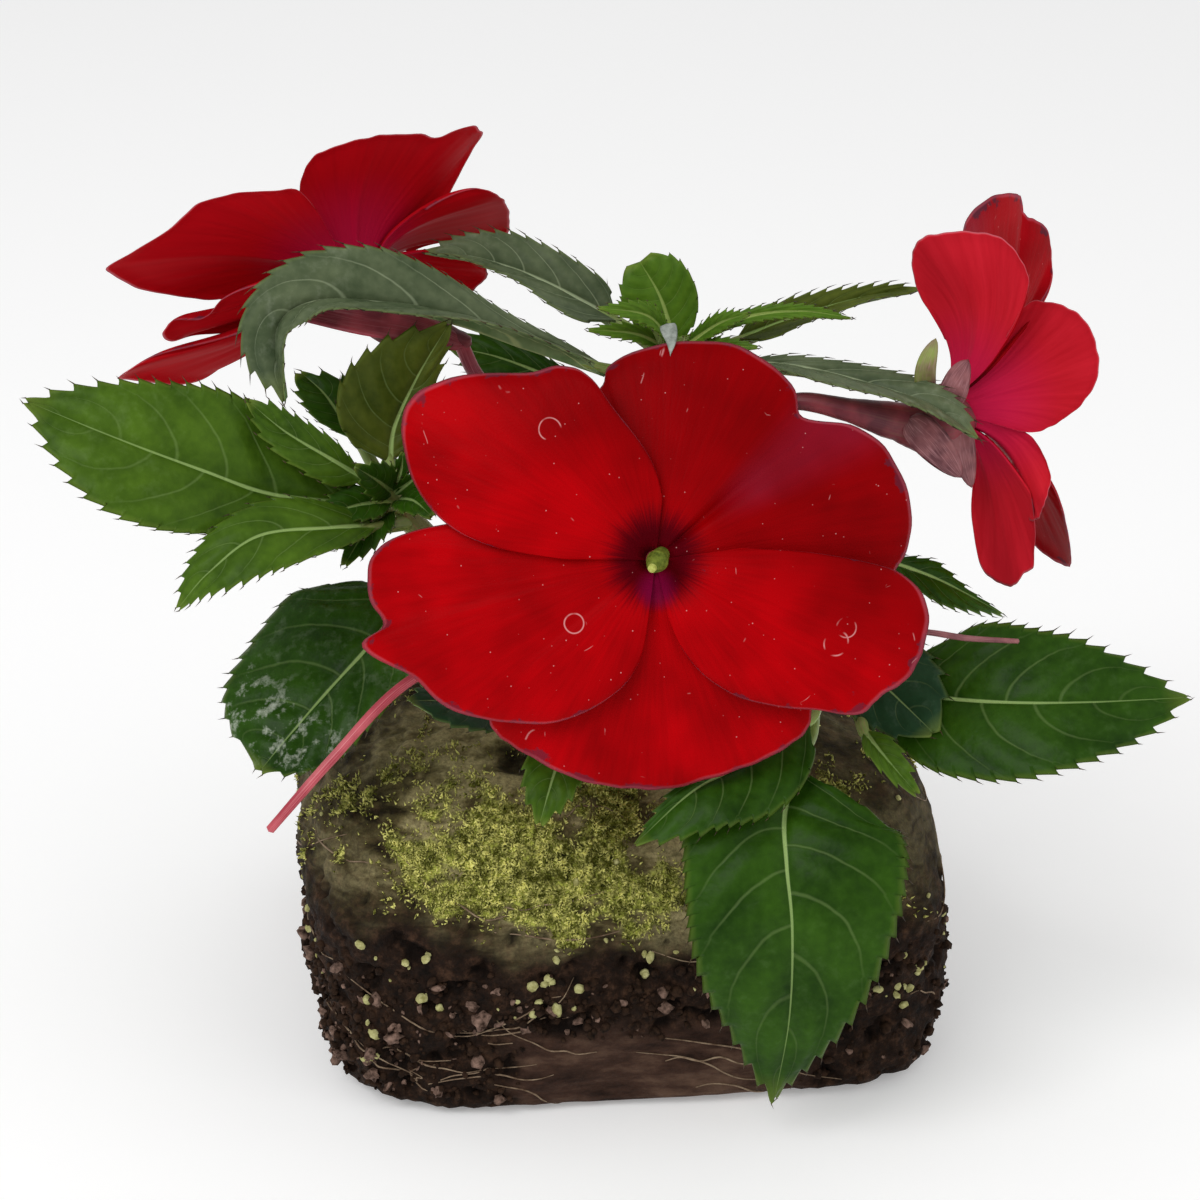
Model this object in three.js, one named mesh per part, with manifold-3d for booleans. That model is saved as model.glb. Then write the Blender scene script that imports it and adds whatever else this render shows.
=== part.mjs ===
// A New Guinea impatiens knocked out of its pot: three red blooms and their toothed leaves
// on fleshy stems, standing in the rounded-square root ball that kept the shape of the pot.
// Millimetres, +Z up. The origin is the centre of the flat underside of the root ball,
// +X points right and -Y points to the viewer, whom the front bloom faces.
import * as THREE from "three";
import { mergeVertices } from "three/addons/utils/BufferGeometryUtils.js";
import Module from "manifold-3d";

const wasm = await Module();
wasm.setup();

// Root ball
const BALL_WIDTH = 90;
const BALL_DEPTH = 88;
const BALL_HEIGHT = 48;
const BALL_TURN = 6; // degrees, its right side farther back
const BALL_SQUARENESS = 5; // exponent of the superellipse that is its plan
const BALL_SIDES = 36;
const BALL_TAPER = 0.025; // how much narrower it is at the bottom
const BALL_LEAN = -2.2; // how far its middle height stands to the left of its underside
const BALL_FULL_HEIGHT = 28; // from here up it has its full width
const BALL_ROUGHNESS = 0.55;
const GRAIN_COUNT = 20;
const GRAIN_RADIUS = [0.7, 1.5];
const GRAIN_SEED = 11;

// Clearance between pieces that touch
const GAP = 0.3;

// Leaves and petals
const LEAF_THICKNESS = 0.8;
const PETAL_THICKNESS = 0.7;
const PETIOLE_RADIUS = 1.0;
const BLADE_START = 0.02;
const BLADE_END = 0.985;
const TOOTH_LEAN = 0.72; // where a tooth's point lies between its two notches
const TOOTH_DEPTH = 0.8;
const CLAW_RADIUS = 1.2; // petals start this far from the middle of the throat
const THROAT_RADIUS = 3.4; // the short ring that holds the petals together
const THROAT_DEPTH = 0.5;
const PETAL_RAYS = 11;
const PETAL_RINGS = [0, 0.55, 1];

// Colours
const LEAF_GREEN = 0x2f5a22;
const STEM_GREEN = 0x7d8f4a;
const PETAL_RED = 0xc00d14;
const CALYX_MAUVE = 0x9a5568;
const ANTHER_YELLOW = 0xb9bf4a;
const PEAT_BROWN = 0x4a3b25;

const DEGREE = Math.PI / 180;
const vector = (p) => new THREE.Vector3(...p);

// A number from 0 to 1 at each call, the same row of them each run.
function seeded(seed) {
  let state = seed;
  return () => {
    state = (state * 1664525 + 1013904223) >>> 0;
    return state / 2 ** 32;
  };
}

// A closed three.js geometry as a manifold-3d solid.
function solidOf(geometry) {
  const bare = geometry.clone();
  bare.deleteAttribute("normal");
  bare.deleteAttribute("uv");
  const merged = mergeVertices(bare, 1e-4);
  return new wasm.Manifold(
    new wasm.Mesh({
      numProp: 3,
      vertProperties: merged.attributes.position.array,
      triVerts: new Uint32Array(merged.index.array),
    }),
  );
}

// The largest body of a solid: scraps are dropped, and sealed hollows are filled.
function mainBody(solid) {
  const bodies = solid.decompose();
  return bodies.reduce((best, body) => (body.volume() > best.volume() ? body : best));
}

const fuse = (solids) => mainBody(solids.reduce((sum, solid) => sum.add(solid)));
const cutAway = (solid, tools) => mainBody(tools.reduce((left, tool) => left.subtract(tool), solid));

function geometryOf(vertices, triangles) {
  const geometry = new THREE.BufferGeometry();
  geometry.setAttribute("position", new THREE.Float32BufferAttribute(vertices, 3));
  geometry.setIndex(triangles);
  return geometry;
}

function meshOf(name, solid, color, roughness = 0.6) {
  const { vertProperties, triVerts } = solid.getMesh();
  const material = new THREE.MeshStandardMaterial({ color, roughness, metalness: 0, flatShading: true });
  const mesh = new THREE.Mesh(geometryOf(vertProperties, Array.from(triVerts)), material);
  mesh.geometry.computeVertexNormals();
  mesh.name = name;
  return mesh;
}

// A round stem, stalk or spur along a smooth curve, as thick at each point as radii say.
// Extra makes it that much fatter and longer, to cut its own clearance in a neighbour.
function stalk(points, radii, { sides = 6, steps = 2 * (points.length - 1), extra = 0 } = {}) {
  const curve = new THREE.CatmullRomCurve3(points.map(vector));
  const frames = curve.computeFrenetFrames(steps);
  const vertices = [];
  const triangles = [];
  for (let i = 0; i <= steps; i++) {
    const t = i / steps;
    const slot = Math.min(Math.floor(t * (radii.length - 1)), radii.length - 2);
    const share = t * (radii.length - 1) - slot;
    const radius = THREE.MathUtils.lerp(radii[slot], radii[slot + 1], share) + extra;
    const centre = curve.getPoint(t);
    if (i === 0) centre.addScaledVector(frames.tangents[i], -extra);
    if (i === steps) centre.addScaledVector(frames.tangents[i], extra);
    for (let j = 0; j < sides; j++) {
      const angle = (2 * Math.PI * j) / sides;
      const rim = centre.clone();
      rim.addScaledVector(frames.normals[i], radius * Math.cos(angle));
      rim.addScaledVector(frames.binormals[i], radius * Math.sin(angle));
      vertices.push(...rim);
      if (i === 0) continue;
      const next = (j + 1) % sides;
      const [a, b] = [(i - 1) * sides + j, (i - 1) * sides + next];
      triangles.push(a, b, b + sides, a, b + sides, a + sides);
    }
  }
  const last = steps * sides;
  for (let j = 1; j < sides - 1; j++) {
    triangles.push(0, j + 1, j);
    triangles.push(last, last + j, last + j + 1);
  }
  return solidOf(geometryOf(vertices, triangles));
}

// The curved surface that a leaf or a petal lies on. Its midrib is a smooth line through the
// points of rib, and its upper side looks towards face. Each half leaves the midrib at the
// fold angle and cups on by the cup angle towards its rim, a pair of angles being left and
// right. The result gives the point and the normal at a share of the length along the
// midrib and a distance across it, to the right if positive.
function surface({ rib, face, span, fold = 0, cup = 0, twist = 0, wave = 0, waves = 2.5 }) {
  const curve = new THREE.CatmullRomCurve3(rib.map(vector), false, "catmullrom");
  const chord = vector(rib.at(-1)).sub(vector(rib[0]));
  const side = chord.clone().cross(vector(face)).normalize();
  const [folds, cups] = [fold, cup].map((angle) => (Array.isArray(angle) ? angle : [angle, angle]));
  return (along, across) => {
    const onRib = THREE.MathUtils.clamp(along, 0, 1);
    const forward = curve.getTangent(onRib);
    const right = side.clone().addScaledVector(forward, -side.dot(forward)).normalize();
    right.applyAxisAngle(forward, twist * DEGREE * onRib);
    const out = right.clone().cross(forward);
    const half = across < 0 ? 0 : 1;
    const reach = Math.abs(across);
    const share = reach / span;
    const slope = (folds[half] + cups[half] * share) * DEGREE;
    const mean = (folds[half] + (cups[half] * share) / 2) * DEGREE;
    const ripple = wave * Math.sin(2 * Math.PI * waves * along + 2 * half) * share ** 2;
    const point = curve.getPoint(onRib).addScaledVector(forward, (along - onRib) * chord.length());
    point.addScaledVector(right, across * Math.cos(mean));
    point.addScaledVector(out, reach * Math.sin(mean) + ripple);
    const tilt = across < 0 ? Math.sin(slope) : -Math.sin(slope);
    const normal = out.multiplyScalar(Math.cos(slope)).addScaledVector(right, tilt);
    return { point, normal };
  };
}

// A closed sheet from columns of places, left rim first. Each place is a share of the length,
// a distance across and its rank in its column. Both faces are split into triangles alike.
function sheet(place, columns, thickness) {
  const vertices = [];
  const triangles = [];
  let count = 0;
  const grid = columns.map((column) =>
    column.map(([along, across, rank]) => {
      const { point, normal } = place(along, across);
      vertices.push(...point.clone().addScaledVector(normal, thickness / 2));
      vertices.push(...point.clone().addScaledVector(normal, -thickness / 2));
      count += 2;
      return { rank, top: count - 2 };
    }),
  );
  const both = (a, b, c) => triangles.push(a, b, c, a + 1, c + 1, b + 1);
  const wall = (a, b) => triangles.push(a, b, b + 1, a, b + 1, a + 1);
  for (let k = 1; k < grid.length; k++) {
    const [left, right] = [grid[k - 1], grid[k]];
    let [i, j] = [0, 0];
    while (i < left.length - 1 || j < right.length - 1) {
      const leftNext = i < left.length - 1 ? left[i + 1].rank : Infinity;
      const rightNext = j < right.length - 1 ? right[j + 1].rank : Infinity;
      if (leftNext <= rightNext) {
        both(left[i].top, right[j].top, left[i + 1].top);
        i++;
      } else {
        both(left[i].top, right[j].top, right[j + 1].top);
        j++;
      }
    }
    wall(right[0].top, left[0].top);
    wall(left.at(-1).top, right.at(-1).top);
  }
  const [leftRim, rightRim] = [grid[0], grid.at(-1)];
  for (let i = 1; i < leftRim.length; i++) wall(leftRim[i - 1].top, leftRim[i].top);
  for (let i = 1; i < rightRim.length; i++) wall(rightRim[i].top, rightRim[i - 1].top);
  return solidOf(geometryOf(vertices, triangles));
}

// The share of the full half width that a leaf has at a share of its length.
function leafWidth(along, [early, late]) {
  const widest = early / (early + late);
  return (along / widest) ** early * ((1 - along) / (1 - widest)) ** late;
}

// A leaf blade with saw teeth that point to its tip.
function leafBlade(leaf) {
  const { half, teeth, shape = [0.85, 1.0], inner = true } = leaf;
  const stations = Array.from({ length: teeth + 1 }, (_, i) => {
    return THREE.MathUtils.lerp(BLADE_START, BLADE_END, i / teeth);
  });
  const width = (along, side) => half[side] * leafWidth(along, shape);
  const notch = (along, side) => {
    return Math.max(width(along, side) - TOOTH_DEPTH, 0.4 * width(along, side), 0.3);
  };
  const rim = (side) => {
    const sign = side === 0 ? -1 : 1;
    return stations.flatMap((along, i) => {
      const valley = [along, sign * notch(along, side), along];
      if (i === teeth) return [valley];
      const point = THREE.MathUtils.lerp(along, stations[i + 1], TOOTH_LEAN);
      return [valley, [point, sign * Math.max(width(point, side), 0.4), point]];
    });
  };
  const inside = (share) => {
    const side = share < 0 ? 0 : 1;
    return stations.map((along) => [along, share * notch(along, side), along]);
  };
  const shares = inner ? [-0.55, 0, 0.55] : [0];
  return sheet(surface(leaf), [rim(0), ...shares.map(inside), rim(1)], LEAF_THICKNESS);
}

// A leaf with the stalk that joins it to its stem.
function leafSolid(leaf) {
  const { rib, root, via = [] } = leaf;
  const path = [root, ...via, rib[0], surface(leaf)(0.14, 0).point.toArray()];
  const petiole = stalk(path, [PETIOLE_RADIUS, PETIOLE_RADIUS * 0.75], { sides: 5 });
  return fuse([leafBlade(leaf), petiole]);
}

// A petal that fans out from the throat. Its rim is a list of angles in degrees, from left to
// right as seen from the face, each with the distance of the rim from the throat.
function petalSolid({ rim, axis, ...shape }) {
  const length = vector(shape.rib[0]).distanceTo(vector(shape.rib.at(-1)));
  const outline = new THREE.SplineCurve(rim.map(([angle, reach]) => new THREE.Vector2(angle, reach)));
  const columns = outline.getPoints(PETAL_RAYS).map(({ x, y }) => {
    const angle = (x - axis) * DEGREE;
    return PETAL_RINGS.map((share) => {
      const reach = CLAW_RADIUS + (y - CLAW_RADIUS) * share;
      return [(reach * Math.cos(angle)) / length, -reach * Math.sin(angle), share];
    });
  });
  return sheet(surface(shape), columns, PETAL_THICKNESS);
}

// The petals of a bloom, fused at its throat. A petal's axis is its direction in the plane of
// the bloom, counted from the right as seen from the face, and pitch lifts it out of that
// plane to the face. Its rim's angles are counted as its axis is.
function bloomPetals({ centre, face, petals }) {
  const out = vector(face).normalize();
  const right = new THREE.Vector3(0, 0, 1).cross(out).normalize();
  const up = out.clone().cross(right);
  const solids = petals.map((petal) => {
    const { axis, length, pitch = 0, lift = 0, bow = 0 } = petal;
    const flat = right.clone().multiplyScalar(Math.cos(axis * DEGREE));
    flat.addScaledVector(up, Math.sin(axis * DEGREE));
    const forward = flat.clone().multiplyScalar(Math.cos(pitch * DEGREE));
    forward.addScaledVector(out, Math.sin(pitch * DEGREE));
    const side = forward.clone().cross(out).normalize();
    const normal = side.clone().cross(forward);
    const claw = vector(centre);
    const middle = claw.clone().addScaledVector(forward, length / 2).addScaledVector(normal, bow);
    const tip = claw.clone().addScaledVector(forward, length);
    middle.addScaledVector(out, lift);
    tip.addScaledVector(out, lift);
    const rib = [claw, middle, tip].map((p) => p.toArray());
    return petalSolid({ span: length / 2, ...petal, rib, face: normal.toArray() });
  });
  const throat = [-THROAT_DEPTH, THROAT_DEPTH].map((d) => vector(centre).addScaledVector(out, d).toArray());
  return fuse([...solids, stalk(throat, [THROAT_RADIUS, THROAT_RADIUS], { sides: 8, steps: 1 })]);
}

// The root ball: a rounded square of peat with a domed top, a little narrower at the bottom.
// Each ring of its skin is set in from the plan by an inset at a height.
const BALL_RINGS = [
  [4.5, 0],
  [2, 0.9],
  [0.6, 3],
  [0, 10],
  [0, 20],
  [0.4, 29],
  [2.4, 35],
  [5.4, 39.4],
  [9.6, 42.8],
  [15, 45],
  [22, 46.5],
  [31, 47.5],
];

function ballSkin() {
  const vertices = [];
  const triangles = [];
  BALL_RINGS.forEach(([inset, height], ring) => {
    const rise = Math.min(1, height / BALL_FULL_HEIGHT);
    const taper = 1 - BALL_TAPER * (1 - rise);
    for (let j = 0; j < BALL_SIDES; j++) {
      const angle = (2 * Math.PI * j) / BALL_SIDES;
      const [across, deep] = [Math.cos(angle), Math.sin(angle)];
      const [a, b] = [(BALL_WIDTH / 2) * taper - inset, (BALL_DEPTH / 2) * taper - inset];
      const n = THREE.MathUtils.lerp(BALL_SQUARENESS, 2.4, THREE.MathUtils.clamp(inset / 31, 0, 1));
      const reach = (Math.abs(across / a) ** n + Math.abs(deep / b) ** n) ** (-1 / n);
      const lumps = Math.sin(5 * angle + height / 4) + Math.sin(11 * angle - height / 2.6);
      const rough = ring === 0 ? 0 : BALL_ROUGHNESS * lumps * 0.6;
      const turn = angle + BALL_TURN * DEGREE;
      const [x, y] = [(reach + rough) * Math.cos(turn), (reach + rough) * Math.sin(turn)];
      vertices.push(x + BALL_LEAN * rise, y, height);
      if (ring === 0) continue;
      const next = (j + 1) % BALL_SIDES;
      const [low, lowNext] = [(ring - 1) * BALL_SIDES + j, (ring - 1) * BALL_SIDES + next];
      triangles.push(low, lowNext, lowNext + BALL_SIDES, low, lowNext + BALL_SIDES, low + BALL_SIDES);
    }
  });
  const top = (BALL_RINGS.length - 1) * BALL_SIDES;
  const [under, crown] = [vertices.length / 3, vertices.length / 3 + 1];
  vertices.push(0, 0, 0, BALL_LEAN, 0, BALL_HEIGHT);
  for (let j = 0; j < BALL_SIDES; j++) {
    const next = (j + 1) % BALL_SIDES;
    triangles.push(under, next, j, crown, top + j, top + next);
  }
  return solidOf(geometryOf(vertices, triangles));
}

// Grains of perlite and bark that stand out of the side of the ball.
function ballGrains() {
  const random = seeded(GRAIN_SEED);
  return Array.from({ length: GRAIN_COUNT }, () => {
    const angle = 2 * Math.PI * random();
    const height = THREE.MathUtils.lerp(4, 31, random());
    const [a, b] = [BALL_WIDTH / 2, BALL_DEPTH / 2];
    const n = BALL_SQUARENESS;
    const [across, deep] = [Math.cos(angle), Math.sin(angle)];
    const reach = (Math.abs(across / a) ** n + Math.abs(deep / b) ** n) ** (-1 / n);
    const rise = Math.min(1, height / BALL_FULL_HEIGHT);
    const taper = 1 - BALL_TAPER * (1 - rise);
    const grain = new THREE.IcosahedronGeometry(THREE.MathUtils.lerp(...GRAIN_RADIUS, random()), 0);
    grain.rotateX(Math.PI * random());
    const turn = angle + BALL_TURN * DEGREE;
    const [x, y] = [reach * taper * Math.cos(turn), reach * taper * Math.sin(turn)];
    grain.translate(x + BALL_LEAN * rise, y, height);
    return solidOf(grain);
  });
}

// Stems, each from its plain hole in the peat. Each is a path with its radii.
const STEMS = {
  centre: {
    path: [[3, 0, 35], [3, -1, 55], [4.5, -3, 75], [6.5, -5, 90], [7, -6, 98]],
    radii: [3, 2.8, 2.5, 2.1, 1.2],
  },
  left: {
    path: [[-11, -9, 35], [-14, -12, 52], [-20, -17, 66], [-28, -23, 78], [-31, -25, 83]],
    radii: [2.4, 2.2, 2, 1.6, 1],
  },
  right: {
    path: [[15, -10, 35], [18, -17, 47], [22, -26, 54], [27, -35, 58]],
    radii: [2.3, 2.1, 1.8, 1.1],
  },
  back: {
    path: [[1, 13, 35], [2, 20, 52], [6, 29, 60], [8, 36, 64]],
    radii: [2.2, 2, 1.7, 1],
  },
};

function stemSolid({ path, radii }, extra = 0) {
  return stalk(path, radii, { sides: 8, extra });
}

// Leaves. Half widths are left and right as seen on the upper face with the tip pointing
// away. A leaf whose stem is given is its own piece, and its stalk stops short of that stem.
const LEAVES = {
  leaf_left_broad: {
    stem: "left",
    root: [-29, -24, 80],
    rib: [
      [-32.5, -28, 81.8], [-44.6, -32, 84.5], [-53.5, -35, 88.9],
      [-63.2, -36, 93.2], [-74.8, -34, 97.5],
    ],
    face: [0.1, -0.75, 0.65],
    half: [9.5, 11.5],
    fold: 12,
    cup: -10,
    teeth: 10,
  },
  leaf_left_narrow: {
    stem: "left",
    root: [-30.8, -24.8, 82.8],
    rib: [[-33.2, -27, 84.8], [-37.5, -30, 88.7], [-43.1, -31, 92.7], [-47.5, -30, 96.2]],
    face: [0.3, -0.8, 0.6],
    half: [3.6, 4],
    fold: 14,
    teeth: 8,
    inner: false,
  },
  leaf_left_low: {
    stem: "left",
    root: [-28.5, -24, 78],
    rib: [
      [-31.5, -30.4, 79.8], [-37.1, -37.6, 82], [-45.4, -42.8, 82.8],
      [-51.4, -45.6, 79], [-55.4, -45.6, 74.4],
    ],
    face: [0.0, -0.62, 0.78],
    half: [5.4, 5.6],
    fold: 8,
    cup: -12,
    teeth: 10,
  },
  leaf_left_upright: {
    stem: "left",
    root: [-30, -24, 82],
    rib: [[-30.6, -22, 85.5], [-30, -20, 90], [-26.8, -19, 96.7], [-22.8, -19, 103.4]],
    face: [0.2, -0.95, 0.1],
    half: [9, 4.6],
    shape: [0.7, 0.9],
    fold: 8,
    cup: -14,
    teeth: 8,
  },
  leaf_left_behind: {
    stem: "left",
    root: [-29, -23.8, 80],
    via: [[-32.4, -19.6, 83.4]],
    rib: [[-35, -16.6, 87], [-37.8, -14.6, 90], [-40, -13, 92.5], [-43, -11, 94.6]],
    face: [0.3, -0.7, 0.6],
    half: [3.6, 3.6],
    fold: 10,
    teeth: 7,
    inner: false,
  },
  leaf_left_hanging: {
    stem: "left",
    root: [-20, -17, 66],
    via: [[-24, -21, 70]],
    rib: [
      [-27.5, -25, 69.5], [-32.6, -30, 63.8], [-39, -34, 57.6],
      [-44, -37.5, 52.6], [-47, -39.5, 49.4],
    ],
    face: [-0.5, -0.75, 0.35],
    half: [9.5, 14],
    shape: [0.65, 0.7],
    fold: 6,
    cup: -16,
    teeth: 10,
  },
  leaf_under_bloom: {
    stem: "left",
    root: [-15, -13, 54],
    rib: [[-15, -27, 58], [-21, -37, 58.5], [-27, -43, 60.5]],
    face: [0, -0.6, 0.8],
    half: [7, 4.6],
    fold: 4,
    cup: -10,
    teeth: 7,
    inner: false,
  },
  leaf_front_small: {
    stem: "right",
    root: [18, -17, 47.3],
    via: [[4, -30, 53]],
    rib: [[-6, -40, 57.8], [-8.7, -46, 52.3], [-10.6, -50, 46.9]],
    face: [0, -0.9, 0.4],
    half: [4, 4.4],
    fold: 10,
    teeth: 6,
    inner: false,
  },
  leaf_right_broad: {
    stem: "right",
    root: [26, -33.5, 57.5],
    rib: [[33, -33, 59], [40.5, -37, 58.6], [49.5, -41, 59.5], [60, -42.5, 60.2], [72.1, -41, 60.2]],
    face: [-0.05, -0.72, 0.7],
    half: [11.4, 10.4],
    shape: [0.65, 0.85],
    fold: 6,
    cup: -10,
    teeth: 10,
  },
  leaf_right_dark: {
    stem: "right",
    root: [23.4, -28.6, 55.4],
    rib: [[25.5, -29.6, 64.5], [32, -35, 61.2], [39.6, -42.4, 56]],
    face: [0.2, -0.8, 0.5],
    half: [8, 5],
    fold: 6,
    cup: -12,
    teeth: 8,
    inner: false,
  },
  leaf_right_back: {
    stem: "right",
    root: [22, -26, 54],
    via: [[29, -20, 64]],
    rib: [[35, -16, 70], [43.4, -13, 65.8], [52.9, -9, 59.3]],
    face: [0.2, -0.6, 0.75],
    half: [3.6, 4],
    fold: 8,
    teeth: 7,
    inner: false,
  },
  leaf_right_small: {
    stem: "right",
    root: [26.9, -34.8, 57.7],
    via: [[30.2, -37.2, 56.8]],
    rib: [[30.8, -43, 56.4], [33, -46, 54.4], [37.1, -48, 50]],
    face: [0.2, -0.8, 0.6],
    half: [2.6, 2.6],
    fold: 24,
    teeth: 6,
    inner: false,
  },
  leaf_front_left: {
    stem: "right",
    root: [26.2, -34, 57.5],
    via: [[25, -37, 57.2]],
    rib: [[24, -41.6, 57.6], [15.4, -47.5, 54], [8.6, -51, 51.6], [1.6, -54, 46]],
    face: [0.1, -0.6, 0.8],
    half: [6.2, 5],
    shape: [0.6, 0.95],
    fold: 10,
    cup: -14,
    teeth: 8,
  },
  leaf_front_hanging: {
    stem: "right",
    root: [25, -32.4, 56.8],
    via: [[24.4, -37.6, 53.6]],
    rib: [
      [22, -44.5, 52], [20.4, -49.5, 47.4], [20.5, -54, 42.6],
      [21.2, -57, 35], [21.2, -56, 22], [19.9, -52, 7.6],
    ],
    face: [-0.05, -0.95, 0.3],
    half: [15, 13.4],
    shape: [0.6, 0.9],
    fold: 8,
    cup: -16,
    teeth: 11,
  },
  leaf_top_arched: {
    stem: "centre",
    root: [6.6, -5.4, 93],
    rib: [
      [-1.7, -10, 95.1], [-13.6, -14, 100.3], [-22.6, -17, 104.2], [-31.5, -19, 106.4],
      [-40.2, -21, 107], [-44.4, -24, 104], [-43.3, -28, 96],
    ],
    face: [0, -0.35, 1],
    half: [5.4, 8],
    shape: [0.7, 0.9],
    fold: [45, 42],
    cup: -8,
    teeth: 12,
  },
  leaf_top_left: {
    stem: "centre",
    root: [6.7, -5.6, 95],
    rib: [[-0.3, -2, 99.3], [-11.2, 1, 104.4], [-19.5, 2.4, 107], [-26.6, 2.8, 107.9]],
    face: [0.2, -0.6, 0.8],
    half: [4.6, 5.4],
    fold: 30,
    teeth: 9,
    inner: false,
  },
  leaf_top_right: {
    stem: "centre",
    root: [6.4, -4.9, 90.4],
    via: [[10.5, -4.6, 94.2]],
    rib: [[15.3, -4.6, 97.4], [24.2, -2.4, 100.2], [32.5, -0.6, 102.2], [40.6, 1, 103.2]],
    face: [-0.1, -0.5, 0.85],
    half: [4, 3.6],
    fold: 30,
    teeth: 9,
    inner: false,
  },
  leaf_top_right_low: {
    stem: "centre",
    root: [6.7, -5.4, 93.2],
    via: [[10, -8.4, 95.2]],
    rib: [
      [15, -10.4, 96], [23.7, -12.5, 95.8], [32.9, -15, 94.2],
      [40.6, -18, 92.2], [46.4, -20, 88.6],
    ],
    face: [0.1, -0.35, 0.95],
    half: [5, 4.4],
    fold: 40,
    cup: -8,
    teeth: 11,
    inner: false,
  },
  leaf_top_behind: {
    stem: "centre",
    root: [6, -4.4, 86],
    rib: [[0, 0, 86], [-8.6, 3, 89.4], [-17, 5, 92.2], [-23.5, 6, 93.4]],
    face: [0.1, -0.8, 0.6],
    half: [4.4, 4.4],
    fold: 6,
    teeth: 9,
    inner: false,
  },
  leaf_back_left: {
    stem: "centre",
    root: [4.6, -3.1, 76],
    rib: [[0, 6, 79], [-8, 22, 77], [-15, 38, 69], [-19, 50, 58]],
    face: [-0.3, 0.2, 1],
    half: [9, 9],
    fold: 10,
    cup: -14,
    teeth: 8,
  },
  leaf_back_right: {
    stem: "centre",
    root: [5.2, -3.7, 80],
    rib: [[11, 5, 81], [21, 20, 77], [29, 34, 69], [34, 47, 57]],
    face: [0.3, 0.2, 1],
    half: [9, 9],
    fold: 10,
    cup: -14,
    teeth: 8,
  },
  leaf_back_middle: {
    stem: "back",
    root: [7, 33, 62.2],
    via: [[9.6, 38, 61]],
    rib: [[10.4, 43, 61.6], [11, 51, 60], [10.6, 57.6, 53.6], [9, 62, 44]],
    face: [0.1, 0.5, 0.8],
    half: [8, 8],
    fold: 8,
    cup: -14,
    teeth: 8,
  },
  leaf_back_low_left: {
    stem: "back",
    root: [4, 24.5, 56.5],
    rib: [[-5, 27, 57.5], [-16, 32, 57], [-28, 37, 52], [-38, 41, 43]],
    face: [-0.1, 0.2, 1],
    half: [8, 8],
    fold: 8,
    cup: -14,
    teeth: 8,
  },
  leaf_back_low_right: {
    stem: "back",
    root: [5.4, 27.6, 59],
    rib: [[13, 28, 58.5], [23, 32, 57.5], [33, 36, 52], [41, 40, 43]],
    face: [0.1, 0.2, 1],
    half: [8, 8],
    fold: 8,
    cup: -14,
    teeth: 8,
  },
};

// Young leaves that are one piece with the tip of their stem.
const YOUNG_LEAVES = {
  centre: [
    {
      rib: [[6.6, -5.6, 96.5], [6.2, -4.4, 104.3], [6.7, -3, 108.7]],
      face: [0, -1, 0.1],
      half: [5, 4.8],
      teeth: 6,
    },
    {
      rib: [[7, -6.4, 96], [3.6, -11, 102.3], [-3, -14, 104.4]],
      face: [0.2, -0.7, 0.6],
      half: [2, 2],
      teeth: 6,
    },
    {
      rib: [[7.2, -6.4, 96], [12.6, -10, 101], [16.4, -12, 103]],
      face: [-0.2, -0.7, 0.6],
      half: [1.8, 1.8],
      teeth: 5,
    },
    {
      rib: [[7.2, -6, 97], [16.2, -8, 101.4], [23.6, -9, 102.6], [30.3, -10, 102]],
      face: [0, -0.8, 0.6],
      half: [1.4, 1.4],
      teeth: 6,
    },
    {
      rib: [[7, -5.6, 96], [5.4, -0.5, 102], [3, 3, 106]],
      face: [0, -0.7, 0.7],
      half: [2.6, 2.6],
      teeth: 5,
    },
    {
      rib: [[7, -6.6, 95.5], [7.4, -12.6, 99.4], [8, -17, 101.4]],
      face: [0, -0.5, 0.9],
      half: [1.6, 1.6],
      teeth: 5,
    },
  ],
  left: [
    {
      rib: [[-30.2, -25.2, 82.2], [-28.8, -26.6, 86], [-28.4, -27.2, 88.6]],
      face: [0, -1, 0.2],
      half: [1.4, 1.4],
      teeth: 4,
    },
    {
      rib: [[-30.2, -25.2, 82.2], [-27.6, -26.8, 84.6], [-26, -27.6, 86.4]],
      face: [0, -1, 0.2],
      half: [1.3, 1.3],
      teeth: 4,
    },
  ],
  right: [
    {
      rib: [[25.8, -33.4, 57.6], [24.2, -34.4, 61], [22.4, -36.8, 63.6]],
      face: [0, -1, 0.3],
      half: [1.6, 1.6],
      teeth: 4,
    },
  ],
  back: [
    {
      rib: [[8, 35.6, 63.4], [9.8, 37.6, 67.6], [11.6, 39, 70.5]],
      face: [0, 0.7, 0.7],
      half: [2, 2],
      teeth: 4,
    },
    {
      rib: [[7.6, 35.6, 63.4], [5.4, 38.6, 66.4], [3.4, 41, 68]],
      face: [0, 0.7, 0.7],
      half: [1.8, 1.8],
      teeth: 4,
    },
  ],
};

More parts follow.
